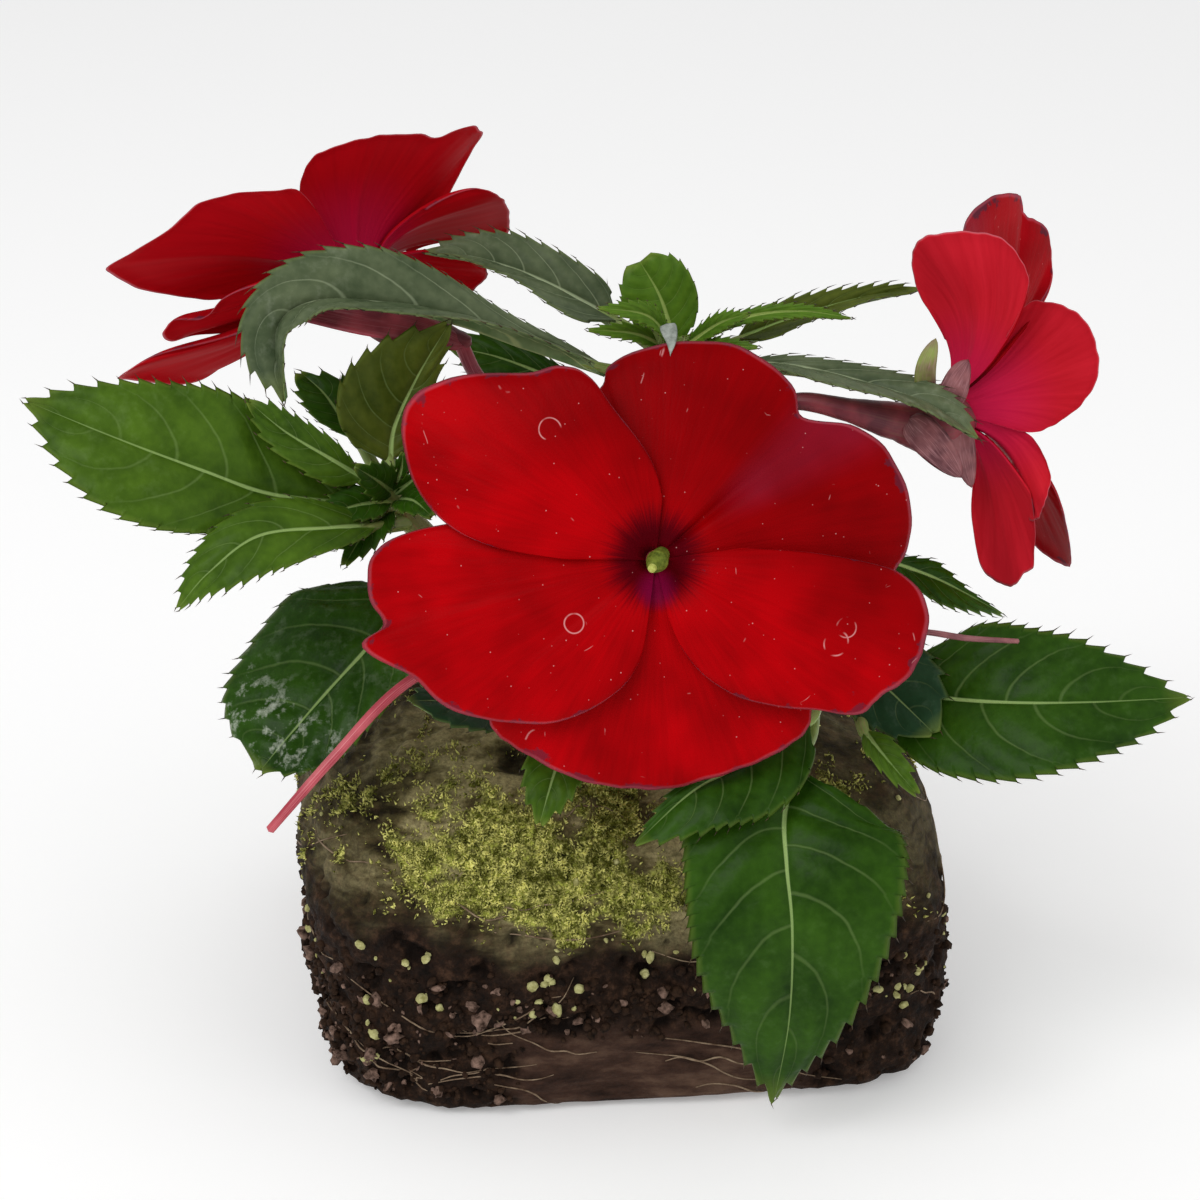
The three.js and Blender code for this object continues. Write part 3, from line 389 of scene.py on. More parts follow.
# Young leaves at the tip of each stem. Pitch and tooth are the pitch and the depth of their saw
# teeth, and shape is how fast they widen at the foot and narrow at the tip.
YOUNG_LEAVES = dict(
    centre=[
        dict(
            rib=[(7.2, -5.8, 97.2), (5.2, -5, 103.4), (2.4, -4, 108.2)], face=(-0.1, -1, 0.2),
            half=(5.2, 5.2), shape=(0.5, 0.42), fold=8, hair=0.4, tooth=0.14,
        ),
        dict(
            rib=[(7, -6.4, 96), (3.6, -11, 102.3), (-3, -14, 104.4)], face=(0.2, -0.7, 0.6),
            half=(2, 2),
        ),
        dict(
            rib=[(7.2, -6.4, 96), (12.6, -10, 101), (16.4, -12, 103)], face=(-0.2, -0.7, 0.6),
            half=(1.8, 1.8),
        ),
        dict(
            rib=[(7, -6.2, 96), (2, -9, 99.4), (-4.4, -11, 100.6)], face=(0.1, -0.8, 0.5),
            half=(1.5, 1.7), hair=1.4,
        ),
        dict(
            rib=[(7.4, -6.4, 96), (12.4, -10.4, 98.2), (17.8, -13, 98.8)], face=(-0.1, -0.8, 0.5),
            half=(1.5, 1.5), hair=1.4,
        ),
        dict(
            rib=[(7.2, -6, 97), (16.2, -8, 101.4), (23.6, -9, 102.6), (30.3, -10, 102)],
            face=(0, -0.8, 0.6), half=(1.4, 1.4),
        ),
        dict(
            rib=[(7, -5.6, 96), (5.4, -0.5, 102), (3, 3, 106)], face=(0, -0.7, 0.7),
            half=(2.6, 2.6),
        ),
        dict(
            rib=[(7, -6.6, 95.5), (7.4, -12.6, 99.4), (8, -17, 101.4)], face=(0, -0.5, 0.9),
            half=(1.6, 1.6),
        ),
    ],
    left=[
        dict(
            rib=[(-30.2, -25.4, 80.5), (-33, -31, 79.5), (-35.5, -36, 76.6)], face=(0.1, -0.6, 0.8),
            half=(3.2, 3.2), pitch=1.9,
        ),
        dict(
            rib=[(-30, -25.2, 82.5), (-31.6, -29.5, 85.6), (-34, -33, 88.6)], face=(0.2, -0.9, 0.3),
            half=(2.8, 3), pitch=1.9,
        ),
        dict(
            rib=[(-29.6, -25, 81.5), (-27, -30, 83), (-24.5, -34, 82.4)], face=(0, -0.7, 0.7),
            half=(3, 3), pitch=1.9,
        ),
        dict(
            rib=[(-30.2, -25.4, 81.5), (-34.6, -30.8, 82.6), (-39, -35, 82.2)],
            face=(0.1, -0.7, 0.7), half=(3.2, 3.2), pitch=1.9,
        ),
        dict(
            rib=[(-30.2, -25.2, 82.2), (-28.8, -26.6, 86), (-28.4, -27.2, 88.6)], face=(0, -1, 0.2),
            half=(1.4, 1.4),
        ),
        dict(
            rib=[(-30.2, -25.2, 82.2), (-27.6, -26.8, 84.6), (-26, -27.6, 86.4)], face=(0, -1, 0.2),
            half=(1.3, 1.3),
        ),
    ],
    right=[
        dict(
            rib=[(25.8, -33.4, 57.6), (24.2, -34.4, 61), (22.4, -36.8, 63.6)], face=(0, -1, 0.3),
            half=(1.6, 1.6),
        ),
    ],
    back=[
        dict(
            rib=[(8, 35.6, 63.4), (9.8, 37.6, 67.6), (11.6, 39, 70.5)], face=(0, 0.7, 0.7),
            half=(2, 2),
        ),
        dict(
            rib=[(7.6, 35.6, 63.4), (5.4, 38.6, 66.4), (3.4, 41, 68)], face=(0, 0.7, 0.7),
            half=(1.8, 1.8),
        ),
    ],
)

# Blooms. Angles are degrees from the right, as seen by who looks at the bloom. A petal lies along
# its axis, and its rim is a list of angles with the reach from the throat. Pitch raises it out of
# the bloom's face, lift moves it out of the face, and bow arches it. Its crease is at an angle and
# has a depth, and its finishes are those of its front and its back.
FRONT_BLOOM = dict(
    centre=(3.8, -48, 81.6),
    face=(-0.02, -0.94, 0.344),
    petals=[
        dict(
            axis=55, length=28, lift=-4, bow=3, cup=-12, crease=(41, 1.3),
            rim=[
                (124, 17), (115, 21), (107, 23.5), (102, 25.9), (86, 27.5), (68, 28.5), (53, 27.8),
                (44, 25.8), (34, 30.4), (23, 32.9), (11, 33.5), (2, 32.4), (-4, 30), (-14, 22),
            ],
        ),
        dict(
            axis=270, length=28.8, lift=-4.6, bow=2.6, cup=-10,
            rim=[
                (322, 22), (316, 27.8), (308, 29), (292, 28.5), (272, 28.8), (256, 29), (236, 29.8),
                (226, 30.1), (218, 25),
            ],
        ),
        dict(
            axis=217, length=31.5, lift=-2, bow=2.6, cup=-10,
            rim=[
                (264, 9), (262, 12.5), (255, 16.6), (240, 23.2), (227, 27.9), (217, 31.5),
                (206, 33.7), (197, 38.3), (194, 35.3), (188, 36.5), (182, 36.4), (177, 34),
                (171, 26.9), (166, 20),
            ],
        ),
        dict(
            axis=-28, length=34, lift=-1.8, bow=2.8, cup=-10,
            rim=[
                (8, 11), (6, 13.9), (1, 23.7), (-3, 30.9), (-10, 34.3), (-19, 35), (-26, 34.4),
                (-31, 32.6), (-37, 31.5), (-44, 26.4), (-60, 19.2), (-72, 12.5), (-77, 7.4),
            ],
        ),
        dict(
            axis=140, length=34.3, lift=-0.2, bow=2.8, cup=-10,
            rim=[
                (180, 11), (179, 14), (176, 20.4), (170, 27), (162, 31.8), (153, 35.3), (147, 36.1),
                (140, 34.3), (126, 28.5), (116, 26.7), (110, 23.8), (104, 17.8), (90, 11),
                (83, 7.5),
            ],
        ),
    ],
    anthers=dict(
        path=[(4.6, -48.6, 82.6), (4, -51, 82.6), (3.4, -52.8, 82.4)], radii=(1.2, 1.9, 1.1),
    ),
    calyx=[
        dict(
            path=[
                (3.7, -44, 80), (3.6, -42, 79.2), (1, -39.5, 76.5), (-6, -38.4, 73),
                (-16, -39.5, 68), (-27.8, -43, 62.9), (-37, -48, 54.6), (-44.6, -52, 46.8),
            ],
            radii=[3.1, 2.9, 1.7, 0.9, 0.75, 0.68, 0.66, 0.6],
        ),
        dict(
            path=[(5.4, -4, 84), (5.2, -18, 90), (4.6, -32, 88), (3.9, -41.5, 80.4)],
            radii=[0.9, 0.85, 0.85, 0.95],
        ),
    ],
)

LEFT_BLOOM = dict(
    centre=(-36.6, -3, 107),
    face=(-0.35, 0.6, 0.72),
    petals=[
        dict(
            axis=-3, pitch=12, length=33, lift=0, bow=2, fold=(6, -6), cup=(16, -16),
            rim=[
                (52, 13), (49, 16.9), (42.5, 18), (35.5, 19.6), (29, 21.4), (23.5, 23.1),
                (19.5, 24.3), (13.5, 25.2), (7.5, 27), (3, 29.5), (-0.5, 31.9), (-3.5, 33.3),
                (-7, 32.1), (-13, 29.8), (-18, 27.4), (-22.5, 24.9), (-27.5, 22), (-31.5, 19),
                (-34, 14.4),
            ],
        ),
        dict(
            axis=96, pitch=30, length=19, lift=0.6, bow=1.5, cup=10,
            rim=[
                (162.5, 14.2), (159, 16.9), (156.5, 19.5), (154, 22), (150.5, 24), (147, 25.2),
                (142, 25.2), (136.5, 24.9), (132, 22.9), (128, 20.7), (120, 20.2), (108, 19.6),
                (98, 19.8), (91, 19.5), (82.5, 19), (74.5, 18.3), (69, 17.4), (64, 16.2),
                (59, 14.8), (54.5, 13),
            ],
        ),
        dict(
            axis=162, pitch=12, length=23, lift=-0.4, bow=2, cup=10,
            rim=[
                (199, 13), (197, 18.1), (195, 22.5), (193.8, 26), (192.6, 28.6), (190, 29.4),
                (182.5, 27.3), (170.5, 24.9), (161.5, 23.5), (155, 22.3), (151.5, 20.6),
                (150, 17.8), (148.5, 13),
            ],
        ),
        dict(
            axis=-36, pitch=0, length=32, lift=-0.8, bow=-1.5, cup=8,
            rim=[
                (-26, 14), (-28, 20), (-30, 26.5), (-31, 30.5), (-31.2, 33), (-32.5, 34.7),
                (-35.5, 35.4), (-39, 34.6), (-43, 32.4), (-49.5, 30.1), (-54.5, 27.4), (-54.5, 24),
                (-51, 19.9), (-46, 15),
            ],
        ),
        dict(
            axis=-26, length=30, lift=0.2, bow=-0.8,
            rim=[
                (2, 13.3), (-7, 18.4), (-13, 20.2), (-16.5, 21.9), (-17, 24.3), (-18, 25.8),
                (-21.5, 26.8), (-27.5, 25.8), (-31, 23.7), (-34.5, 20.7), (-37, 17.2),
                (-39.5, 13.5),
            ],
        ),
        dict(
            axis=205, pitch=5, length=17, lift=-1.2, bow=1.5, cup=8,
            rim=[
                (233.5, 15.7), (223, 19), (213.5, 21.6), (204.5, 24.1), (197.5, 24.4), (190, 22),
                (184.5, 18.7), (180.5, 15.1), (177, 11.8),
            ],
        ),
    ],
    anthers=dict(
        path=[(-36.8, -2.6, 107.5), (-37.6, -1.2, 109.2), (-38.4, 0.2, 110.9)], radii=(1.1, 1.7, 1),
    ),
    calyx=[
        dict(
            path=[
                (-20.4, -12.9, 99.3), (-25.5, -12.3, 101.2), (-30.4, -10.6, 102),
                (-35.2, -7.6, 103.4), (-36.3, -3.7, 106.2),
            ],
            radii=[0.9, 1.9, 2.4, 2.4, 2.2],
        ),
        dict(
            path=[
                (5.6, -4.4, 84), (-4, -6, 86.5), (-14, -10, 90), (-19.2, -12.4, 94.4),
                (-21.6, -12.8, 99.6),
            ],
            radii=[1, 1, 1, 1, 1],
        ),
    ],
)

RIGHT_BLOOM = dict(
    centre=(46.5, -8, 89.5),
    face=(0.87, 0.45, 0.1),
    petals=[
        dict(
            axis=97, pitch=-5, length=25, lift=0.4, bow=2.6, cup=-14, twist=45,
            rim=[
                (121, 12), (121.5, 18.7), (121, 21.1), (117, 23.4), (110, 24.9), (102.5, 25.3),
                (94, 26.1), (87.5, 26.4), (82, 25), (77, 22.5), (69.5, 17.8), (63.5, 12.7), (60, 9),
            ],
        ),
        dict(
            axis=58, finishes=(0, 0), pitch=34, length=28.5, lift=0.8, bow=2, cup=8,
            rim=[
                (103, 15), (98, 18.5), (95, 20.5), (93, 22), (90, 23.7), (83.5, 25.3), (75, 26.4),
                (70.5, 27.1), (69, 28), (67.5, 29.8), (63, 30.9), (56, 32.5), (47.5, 33.9),
                (39, 34.8), (33, 34.4), (28, 31),
            ],
        ),
        dict(
            axis=154, pitch=32, length=20, lift=0, bow=2.6, cup=-12,
            rim=[
                (203, 5), (199.5, 7.6), (195.5, 9.7), (186.5, 12.1), (178, 14.8), (170, 17.5),
                (162.5, 19.3), (154, 20.5), (146.5, 21.4), (138, 21.9), (131, 20.8), (124, 19),
                (115.5, 16.5), (108, 11),
            ],
        ),
        dict(
            axis=262, pitch=6, length=26, lift=-0.4, bow=2, cup=-14, twist=-30,
            rim=[
                (281, 7), (276.5, 10.9), (275, 15.7), (271.5, 20.2), (268.5, 24.1), (265, 25.9),
                (261, 26.5), (257.5, 26.7), (254.5, 25.9), (252, 24.9), (249, 24.3), (246.5, 22.2),
                (239.5, 18.6), (231, 15.7),
            ],
        ),
        dict(
            axis=234, pitch=12, length=18, lift=0.2, bow=2, fold=26, cup=30,
            rim=[(260, 11), (250, 15.6), (240, 18.2), (230, 18), (220, 15), (210, 10)],
        ),
        dict(
            axis=276, finishes=(0, 0), pitch=32, length=34, lift=-0.6, bow=2.4, cup=10,
            rim=[(302, 14), (294, 25), (286, 33.4), (276, 35.4), (267, 31), (258, 22), (250, 13)],
        ),
    ],
    anthers=dict(
        path=[(47, -7.7, 89.5), (49, -6.7, 89.7), (51, -5.7, 89.9)], radii=(1.1, 1.7, 1),
    ),
    calyx=[
        dict(
            path=[
                (20, -13, 90.8), (24, -14, 91.6), (30.2, -14.4, 90.5), (36.8, -12.6, 88.4),
                (42.5, -10.4, 87), (45.7, -8.5, 88.9),
            ],
            radii=[1, 1.2, 1.6, 2.6, 4.2, 3.4],
        ),
        dict(
            path=[(6.8, -5.4, 90.5), (13, -9.6, 90.4), (21, -13.2, 91)], radii=(1, 1, 1),
        ),
    ],
)

# Small leaflets of each calyx, with the number of their finish
SEPALS = dict(
    front=[
        dict(
            rib=[(5.3, -33.7, 107.6), (5.8, -34.9, 105.8), (5.7, -36.2, 104)],
            face=(0, -0.79, 0.61), half=1.1, finish=4, shape=(0.25, 1.3),
        ),
    ],
    left=[
        dict(
            rib=[
                (-20.6, -13.4, 99), (-26.6, -16, 101.8), (-34.1, -19.5, 104.1), (-40.4, -21, 105.7),
                (-45.8, -21, 106.2),
            ],
            face=(0, -0.8, 0.6), half=2.3, finish=0,
        ),
        dict(
            rib=[(-24, -14.2, 100.6), (-29, -15, 100.4), (-34.6, -14, 101.6)], face=(0, -1, -0.2),
            half=1.5, finish=3,
        ),
    ],
    right=[
        dict(
            rib=[(41, -12.6, 90.4), (39.9, -15.8, 96.4), (41.2, -15.4, 100.7)], face=(0, -1, 0.2),
            half=1.5, finish=2,
        ),
        dict(
            rib=[(43.5, -12.2, 89.8), (43.8, -15, 94), (45.8, -14, 97.4)], face=(0.2, -1, 0),
            half=2.2, finish=3,
        ),
        dict(
            rib=[(38, -14.4, 89.4), (41, -16.2, 86.8), (45.6, -15, 81.2)], face=(0, -1, 0.1),
            half=2.5, finish=3,
        ),
        dict(
            rib=[(45.3, -11.6, 88.6), (45.6, -14, 85), (47.3, -13, 79.1)], face=(0.2, -1, 0),
            half=1.8, finish=3,
        ),
    ],
)

# Stalk of a bloom that has fallen
SPENT_STALK = [
    (26.6, -34.4, 57.6), (29, -34, 62.4), (33, -34.8, 65.8), (38, -36.8, 67.6), (44, -39, 67.6),
    (50.3, -40, 67.6),
]

# Shapes. A shape is a dictionary of points in millimetres, faces, a finish number for each face
# and maps, which give each point two numbers that a material reads.
def shape_of(points, faces, finish=0, **maps):
    """A shape with one finish, or with a list of them."""
    finishes = finish if isinstance(finish, list) else [finish] * len(faces)
    return {"points": np.asarray(points, float), "faces": faces, "finishes": finishes, "maps": maps}


def joined(shapes):
    """Several shapes as one, with empty maps where a shape has none."""
    names = {name for shape in shapes for name in shape["maps"]}
    faces, finishes, start = [], [], 0
    for shape in shapes:
        faces += [tuple(corner + start for corner in face) for face in shape["faces"]]
        finishes += shape["finishes"]
        start += len(shape["points"])
    maps = {}
    for name in names:
        parts = [s["maps"].get(name, np.full((len(s["points"]), 2), 0.5)) for s in shapes]
        maps[name] = np.vstack(parts)
    return shape_of(np.vstack([s["points"] for s in shapes]), faces, finishes, **maps)


def piece(name, shapes, materials, nodes=()):
    """A mesh object from shapes, which rides with the plant and may stand for CAD nodes."""
    whole = joined(shapes)
    mesh = bpy.data.meshes.new(name)
    mesh.from_pydata((whole["points"] * MM).tolist(), [], whole["faces"])
    corners = np.empty(len(mesh.loops), dtype=np.int32)
    mesh.loops.foreach_get("vertex_index", corners)
    for layer, values in sorted(whole["maps"].items()):
        mesh.uv_layers.new(name=layer).data.foreach_set("uv", values[corners].ravel())
    for material in materials:
        mesh.materials.append(material)
    mesh.polygons.foreach_set("material_index", whole["finishes"])
    mesh.polygons.foreach_set("use_smooth", [True] * len(mesh.polygons))
    mesh.update()
    made = bpy.data.objects.new(name, mesh)
    bpy.context.scene.collection.objects.link(made)
    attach(made, "root")
    if nodes:
        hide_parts(*nodes)


def unit(vectors):
    """Vectors of length 1 that point the same way."""
    return vectors / np.maximum(np.linalg.norm(vectors, axis=-1, keepdims=True), 1e-9)


def spline(points, share, even=False):
    """Points at the given shares of a smooth line. Even keeps it from bulging at uneven points."""
    knots = np.array(points, float)
    knots = np.vstack([2 * knots[0] - knots[1], knots, 2 * knots[-1] - knots[-2]])
    count = len(points) - 1
    place = np.clip(np.asarray(share, float) * count, 0, count)
    slot = np.minimum(place.astype(int), count - 1)
    t = (place - slot)[:, None]
    a, b, c, d = (knots[slot + k] for k in range(4))
    if even:
        first, gap, last = (
            np.maximum(np.linalg.norm(q - p, axis=1, keepdims=True), 1e-4) ** 0.5
            for p, q in ((a, b), (b, c), (c, d))
        )
        start = ((b - a) / first - (c - a) / (first + gap) + (c - b) / gap) * gap
        end = ((c - b) / gap - (d - b) / (gap + last) + (d - c) / last) * gap
    else:
        start, end = (c - a) / 2, (d - b) / 2
    bend = 3 * (c - b) - 2 * start - end
    return b + start * t + bend * t**2 + (2 * (b - c) + start + end) * t**3


def tube(path, radii, sides=14, steps=40, finish=0, lumps=0.0, seed=0):
    """A round stem, stalk or root along a smooth line, with round ends and a lumpy girth."""
    share = np.linspace(0, 1, steps + 1)
    centre = spline(path, share, even=True)
    forward = unit(np.gradient(centre, axis=0))
    radius = np.interp(share, np.linspace(0, 1, len(radii)), radii)
    rng = np.random.default_rng(seed)
    swell = 1 + lumps * np.convolve(rng.normal(size=steps + 9), np.ones(5) / 3, "same")[4:-4]
    angle = np.arange(sides) * 2 * math.pi / sides
    side = unit(np.cross(forward[0], TUBE_SIDE))
    rings = []
    for k in range(steps + 1):
        side = unit(side - forward[k] * side.dot(forward[k]))
        other = np.cross(forward[k], side)
        ring = np.cos(angle)[:, None] * side + np.sin(angle)[:, None] * other
        rings.append(centre[k] + ring * radius[k] * swell[k])
    ends = [centre[0] - forward[0] * radius[0] * 0.5, centre[-1] + forward[-1] * radius[-1] * 0.5]
    points = np.vstack([*rings, *ends])
    faces = []
    for k in range(steps):
        for j in range(sides):
            a, b = k * sides + j, k * sides + (j + 1) % sides
            faces.append((a, b, b + sides, a + sides))
    first, last, top = len(points) - 2, len(points) - 1, steps * sides
    for j in range(sides):
        faces.append((first, (j + 1) % sides, j))
        faces.append((last, top + j, top + (j + 1) % sides))
    along = np.append(np.repeat(share, sides), (0, 1))
    once = np.abs(np.linspace(-1, 1, sides, endpoint=False))
    around = np.append(np.tile(once, steps + 1), (0, 0))
    return shape_of(points, faces, finish, blade=np.stack([along, around], 1))


def bent_surface(rib, face, along, across, span, fold=0, cup=0, twist=0):
    """Points and normals of the bent surface that a leaf or a petal lies on, at shares of its
    length along the rib and millimetres across it. Its halves turn by the fold at the rib and by
    fold and cup together at the span, and the whole turns by the twist on its way to the tip."""
    base, tip = np.array(rib[0], float), np.array(rib[-1], float)
    side = unit(np.cross(tip - base, face))
    on_rib = np.clip(along, 0, 1).ravel()
    centre = spline(rib, on_rib).reshape(*along.shape, 3)
    ahead, behind = (spline(rib, np.clip(on_rib + step, 0, 1)) for step in (1e-3, -1e-3))
    forward = unit(ahead - behind).reshape(*along.shape, 3)
    right = unit(side - forward * (forward @ side)[..., None])
    turn = (twist * DEGREE * np.clip(along, 0, 1))[..., None]
    right = right * np.cos(turn) + np.cross(forward, right) * np.sin(turn)
    out = np.cross(right, forward)
    folds, cups = (np.broadcast_to(angle, 2) for angle in (fold, cup))
    half = (across >= 0).astype(int)
    reach = np.abs(across)
    slope = ((folds[half] + cups[half] * reach / span) * DEGREE)[..., None]
    mean = ((folds[half] + cups[half] * reach / span / 2) * DEGREE)[..., None]
    beyond = (along - np.clip(along, 0, 1)) * np.linalg.norm(tip - base)
    points = centre + forward * beyond[..., None]
    points = points + right * (across[..., None] * np.cos(mean))
    points = points + out * (reach[..., None] * np.sin(mean))
    tilt = np.where(across[..., None] < 0, np.sin(slope), -np.sin(slope))
    return points, unit(out * np.cos(slope) + right * tilt)


def squares(grid):
    """The four corners of each square in a grid of point numbers."""
    corners = (grid[:-1, :-1], grid[:-1, 1:], grid[1:, 1:], grid[1:, :-1])
    return np.stack(corners, -1).reshape(-1, 4)


def thin_border(thickness):
    """A grid of thicknesses with its border at 0, so that a sheet closes there."""
    thickness[[0, -1]] = 0
    thickness[:, [0, -1]] = 0
    return thickness


def closed_sheet(points, normals, over, under, finishes=(0, 1), **maps):
    """A sheet from a grid of points, thick by over above them and by under below them. Both are 0
    at the border, where the two faces meet."""
    rows, columns = points.shape[:2]
    border = np.zeros((rows, columns), bool)
    border[[0, -1]] = border[:, [0, -1]] = True
    upper = points + normals * over[..., None]
    lower = points - normals * under[..., None]
    index = np.arange(rows * columns)
    inner = np.flatnonzero(~border.ravel())
    below = index.copy()
    below[inner] = rows * columns + np.arange(len(inner))
    top = squares(index.reshape(rows, columns))
    bottom = squares(below.reshape(rows, columns))[:, ::-1]
    vertices = np.vstack([upper.reshape(-1, 3), lower.reshape(-1, 3)[inner]])
    faces = [tuple(face) for face in np.vstack([top, bottom]).tolist()]
    finish = [finishes[0]] * len(top) + [finishes[1]] * len(bottom)
    flat = {name: values.reshape(-1, 2) for name, values in maps.items()}
    both = {name: np.vstack([values, values[inner]]) for name, values in flat.items()}
    return shape_of(vertices, faces, finish, **both)


# Faces of a spike with three corners at its foot and its tip last
SPIKE_FACES = [(0, 1, 3), (1, 2, 3), (2, 0, 3), (2, 1, 0)]


def bristles(roots, directions, finish=0):
    """Fine hairs from their roots, each a three-sided spike as long as its direction."""
    along = unit(directions)
    side = unit(np.cross(along, BRISTLE_SIDE))
    other = np.cross(along, side)
    corners = []
    for k in range(3):
        angle = 2 * math.pi * k / 3
        corners.append(roots + BRISTLE_RADIUS * (math.cos(angle) * side + math.sin(angle) * other))
    points = np.stack([*corners, roots + directions], 1).reshape(-1, 3)
    faces = []
    for start in range(0, len(points), 4):
        faces += [tuple(corner + start for corner in face) for face in SPIKE_FACES]
    return shape_of(points, faces, finish)


# Leaves. Places across a blade lie closer together at the midrib and at the rim.
LANES = np.array([0, 0.03, 0.08, 0.16, 0.26, 0.37, 0.48, 0.59, 0.69, 0.78, 0.86, 0.92, 0.965, 1])
ACROSS = np.concatenate([-LANES[:0:-1], LANES])


def leaf_width(along, shape):
    """The share of its full half width that a leaf has at a share of its length."""
    early, late = shape
    widest = early / (early + late)
    safe = np.clip(along, 1e-5, 1 - 1e-5)
    return (safe / widest) ** early * ((1 - safe) / (1 - widest)) ** late


def half_width(share, side, half, shape, edges):
    """A blade's half widths in millimetres, from its drawn edges or from its shape."""
    if edges:
        left, right = (spline([(w, 0) for w in (0, *edge, 0)], share[:, 0])[:, :1] for edge in edges)
        return np.maximum(np.where(side < 0, left, right), 0)
    return np.where(side < 0, half[0], half[1]) * leaf_width(share, shape)


def leaf_relief(along, across, side, share, span, shape, rng):
    """How far a blade's flesh swells between the side veins, sinks along the midrib and waves at
    the rim, and how far the ribs stand out of its back."""
    bent = along - VEIN_BEND * np.abs(side) ** VEIN_CURVE
    phase = (bent * VEIN_COUNT + VEIN_OFFSET * (side > 0)) % 1
    between = 4 * phase * (1 - phase)
    inside = (4 * np.abs(side) * (1 - np.abs(side))) ** 0.8
    body = np.clip(2.5 * leaf_width(share, shape) - 0.6, 0, 1)
    quilt = QUILT_HEIGHT * span * between * inside * body
    groove = -GROOVE_DEPTH * np.exp(-((across / GROOVE_WIDTH) ** 2)) * (1 - 0.6 * share)
    turns = rng.uniform(1.6, 2.6)
    start = 2.2 * (side > 0) + 6 * rng.random()
    wave = WAVE_HEIGHT * span * np.sin(2 * math.pi * turns * along + start) * side**2
    rib = RIB_HEIGHT * np.exp(-((across / RIB_WIDTH) ** 2)) * (1 - share) ** 0.7
    return quilt + groove + wave, rib + VEIN_HEIGHT * (1 - between) ** 6 * inside


def rim_bristles(points, normals, tips, length, rng):
    """A bristle at each tooth tip on both rims, leaning to the tip of the leaf."""
    spikes = []
    for rim, within in ((0, 3), (-1, -4)):
        outward = unit(points[tips, rim] - points[tips, within])
        forward = unit(points[tips + 1, rim] - points[tips - 1, rim])
        lean = unit(outward + 0.7 * forward + 0.25 * normals[tips, rim])
        long = length * rng.uniform(0.55, 1.15, (len(tips), 1))
        spikes.append(bristles(points[tips, rim] - 0.15 * lean, lean * long, 3))
    return spikes


def leaf_blade(
    rib, face, half, shape=LEAF_SHAPE, fold=0, cup=0, twist=0,
    pitch=TOOTH_PITCH, tooth=TOOTH_DEPTH, hair=1, edges=None, seed=0,
):
    """A blade with hooked saw teeth, bristles, quilted flesh between its veins and a ribbed back."""
    rng = np.random.default_rng(seed)
    length = np.linalg.norm(np.diff(np.array(rib, float), axis=0), axis=1).sum()
    teeth = max(5, round(length / pitch))
    step = np.arange(teeth * TOOTH_STEPS + 1)
    saw = step % TOOTH_STEPS / (TOOTH_STEPS - 1)
    rise = (saw**1.3 * np.clip(4 - 3 * saw, 0, 1))[:, None]
    share, side = (step / step[-1])[:, None], ACROSS[None, :]
    outer = np.abs(side) ** 10
    width = half_width(share, side, half, shape, edges)
    depth = np.minimum(tooth, 0.3 * width)
    across = side * (width - depth) + np.sign(side) * rise * depth * outer
    along = share + rise * outer * TOOTH_REACH / teeth
    span = max(half)
    points, normals = bent_surface(rib, face, along, across, span, fold, cup, twist)
    relief, ribs = leaf_relief(along, across, side, share, span, shape, rng)
    points = points + normals * relief[..., None]
    flesh = LEAF_THICKNESS * (1 - 0.6 * side**2) / 2 * np.ones_like(along)
    over, under = thin_border(flesh.copy()), thin_border(flesh + ribs)
    blade = np.stack([along, np.broadcast_to(0.5 + side / 2, along.shape)], -1)
    size = np.stack([along * length / MAP_SPAN, 0.5 + across / MAP_SPAN], -1)
    sheet = closed_sheet(points, normals, over, under, blade=blade, size=size)
    tips = np.arange(TOOTH_STEPS - 1, len(step) - 1, TOOTH_STEPS)
    long = hair * BRISTLE_LENGTH * min(1, pitch / TOOTH_PITCH)
    return [sheet, *rim_bristles(points, normals, tips, long, rng)]


def leaf_shapes(root, rib, face, half, via=(), **blade):
    """A leaf with the stalk that joins it to its stem."""
    entry, middle = np.array([[0.0, 0.15]]), np.zeros((1, 2))
    surface, out = bent_surface(rib, face, entry, middle, max(half))
    foot, into = surface[0] - out[0] * ((0.35,), (0.75,))
    stalk = tube([root, *via, foot, into], [1.05, 0.95, 0.75, 0.3], finish=2)
    return [*leaf_blade(rib, face, half, **blade), stalk]


# Blooms
def bloom_axes(face):
    """Out of the face, to its right and up its face, as seen by who looks at it."""
    out = unit(np.array(face, float))
    right = unit(np.cross((0, 0, 1), out))
    return out, right, np.cross(out, right)


def petal_surface(bloom, petal, angle, reach):
    """Points and normals of a petal's bent surface at angles round the throat and reaches from it."""
    out, right, up = bloom_axes(bloom["face"])
    axis, length = petal["axis"] * DEGREE, petal["length"]
    pitch = petal.get("pitch", 0) * DEGREE
    flat = right * math.cos(axis) + up * math.sin(axis)
    forward = flat * math.cos(pitch) + out * math.sin(pitch)
    normal = np.cross(unit(np.cross(forward, out)), forward)
    claw = np.array(bloom["centre"], float)
    lift, bow = out * petal.get("lift", 0), normal * petal.get("bow", 0)
    rib = [claw, claw + forward * length / 2 + bow + lift, claw + forward * length + lift]
    turn = angle * DEGREE - axis
    along, across = reach * np.cos(turn) / length, -reach * np.sin(turn)
    bend = {key: petal[key] for key in ("fold", "cup", "twist") if key in petal}
    points, normals = bent_surface(rib, normal, along, across, length / 2, **bend)
    sunk = THROAT_DEPTH * np.exp(-((reach / THROAT_RADIUS) ** 2))
    return points - out * sunk[..., None], normals


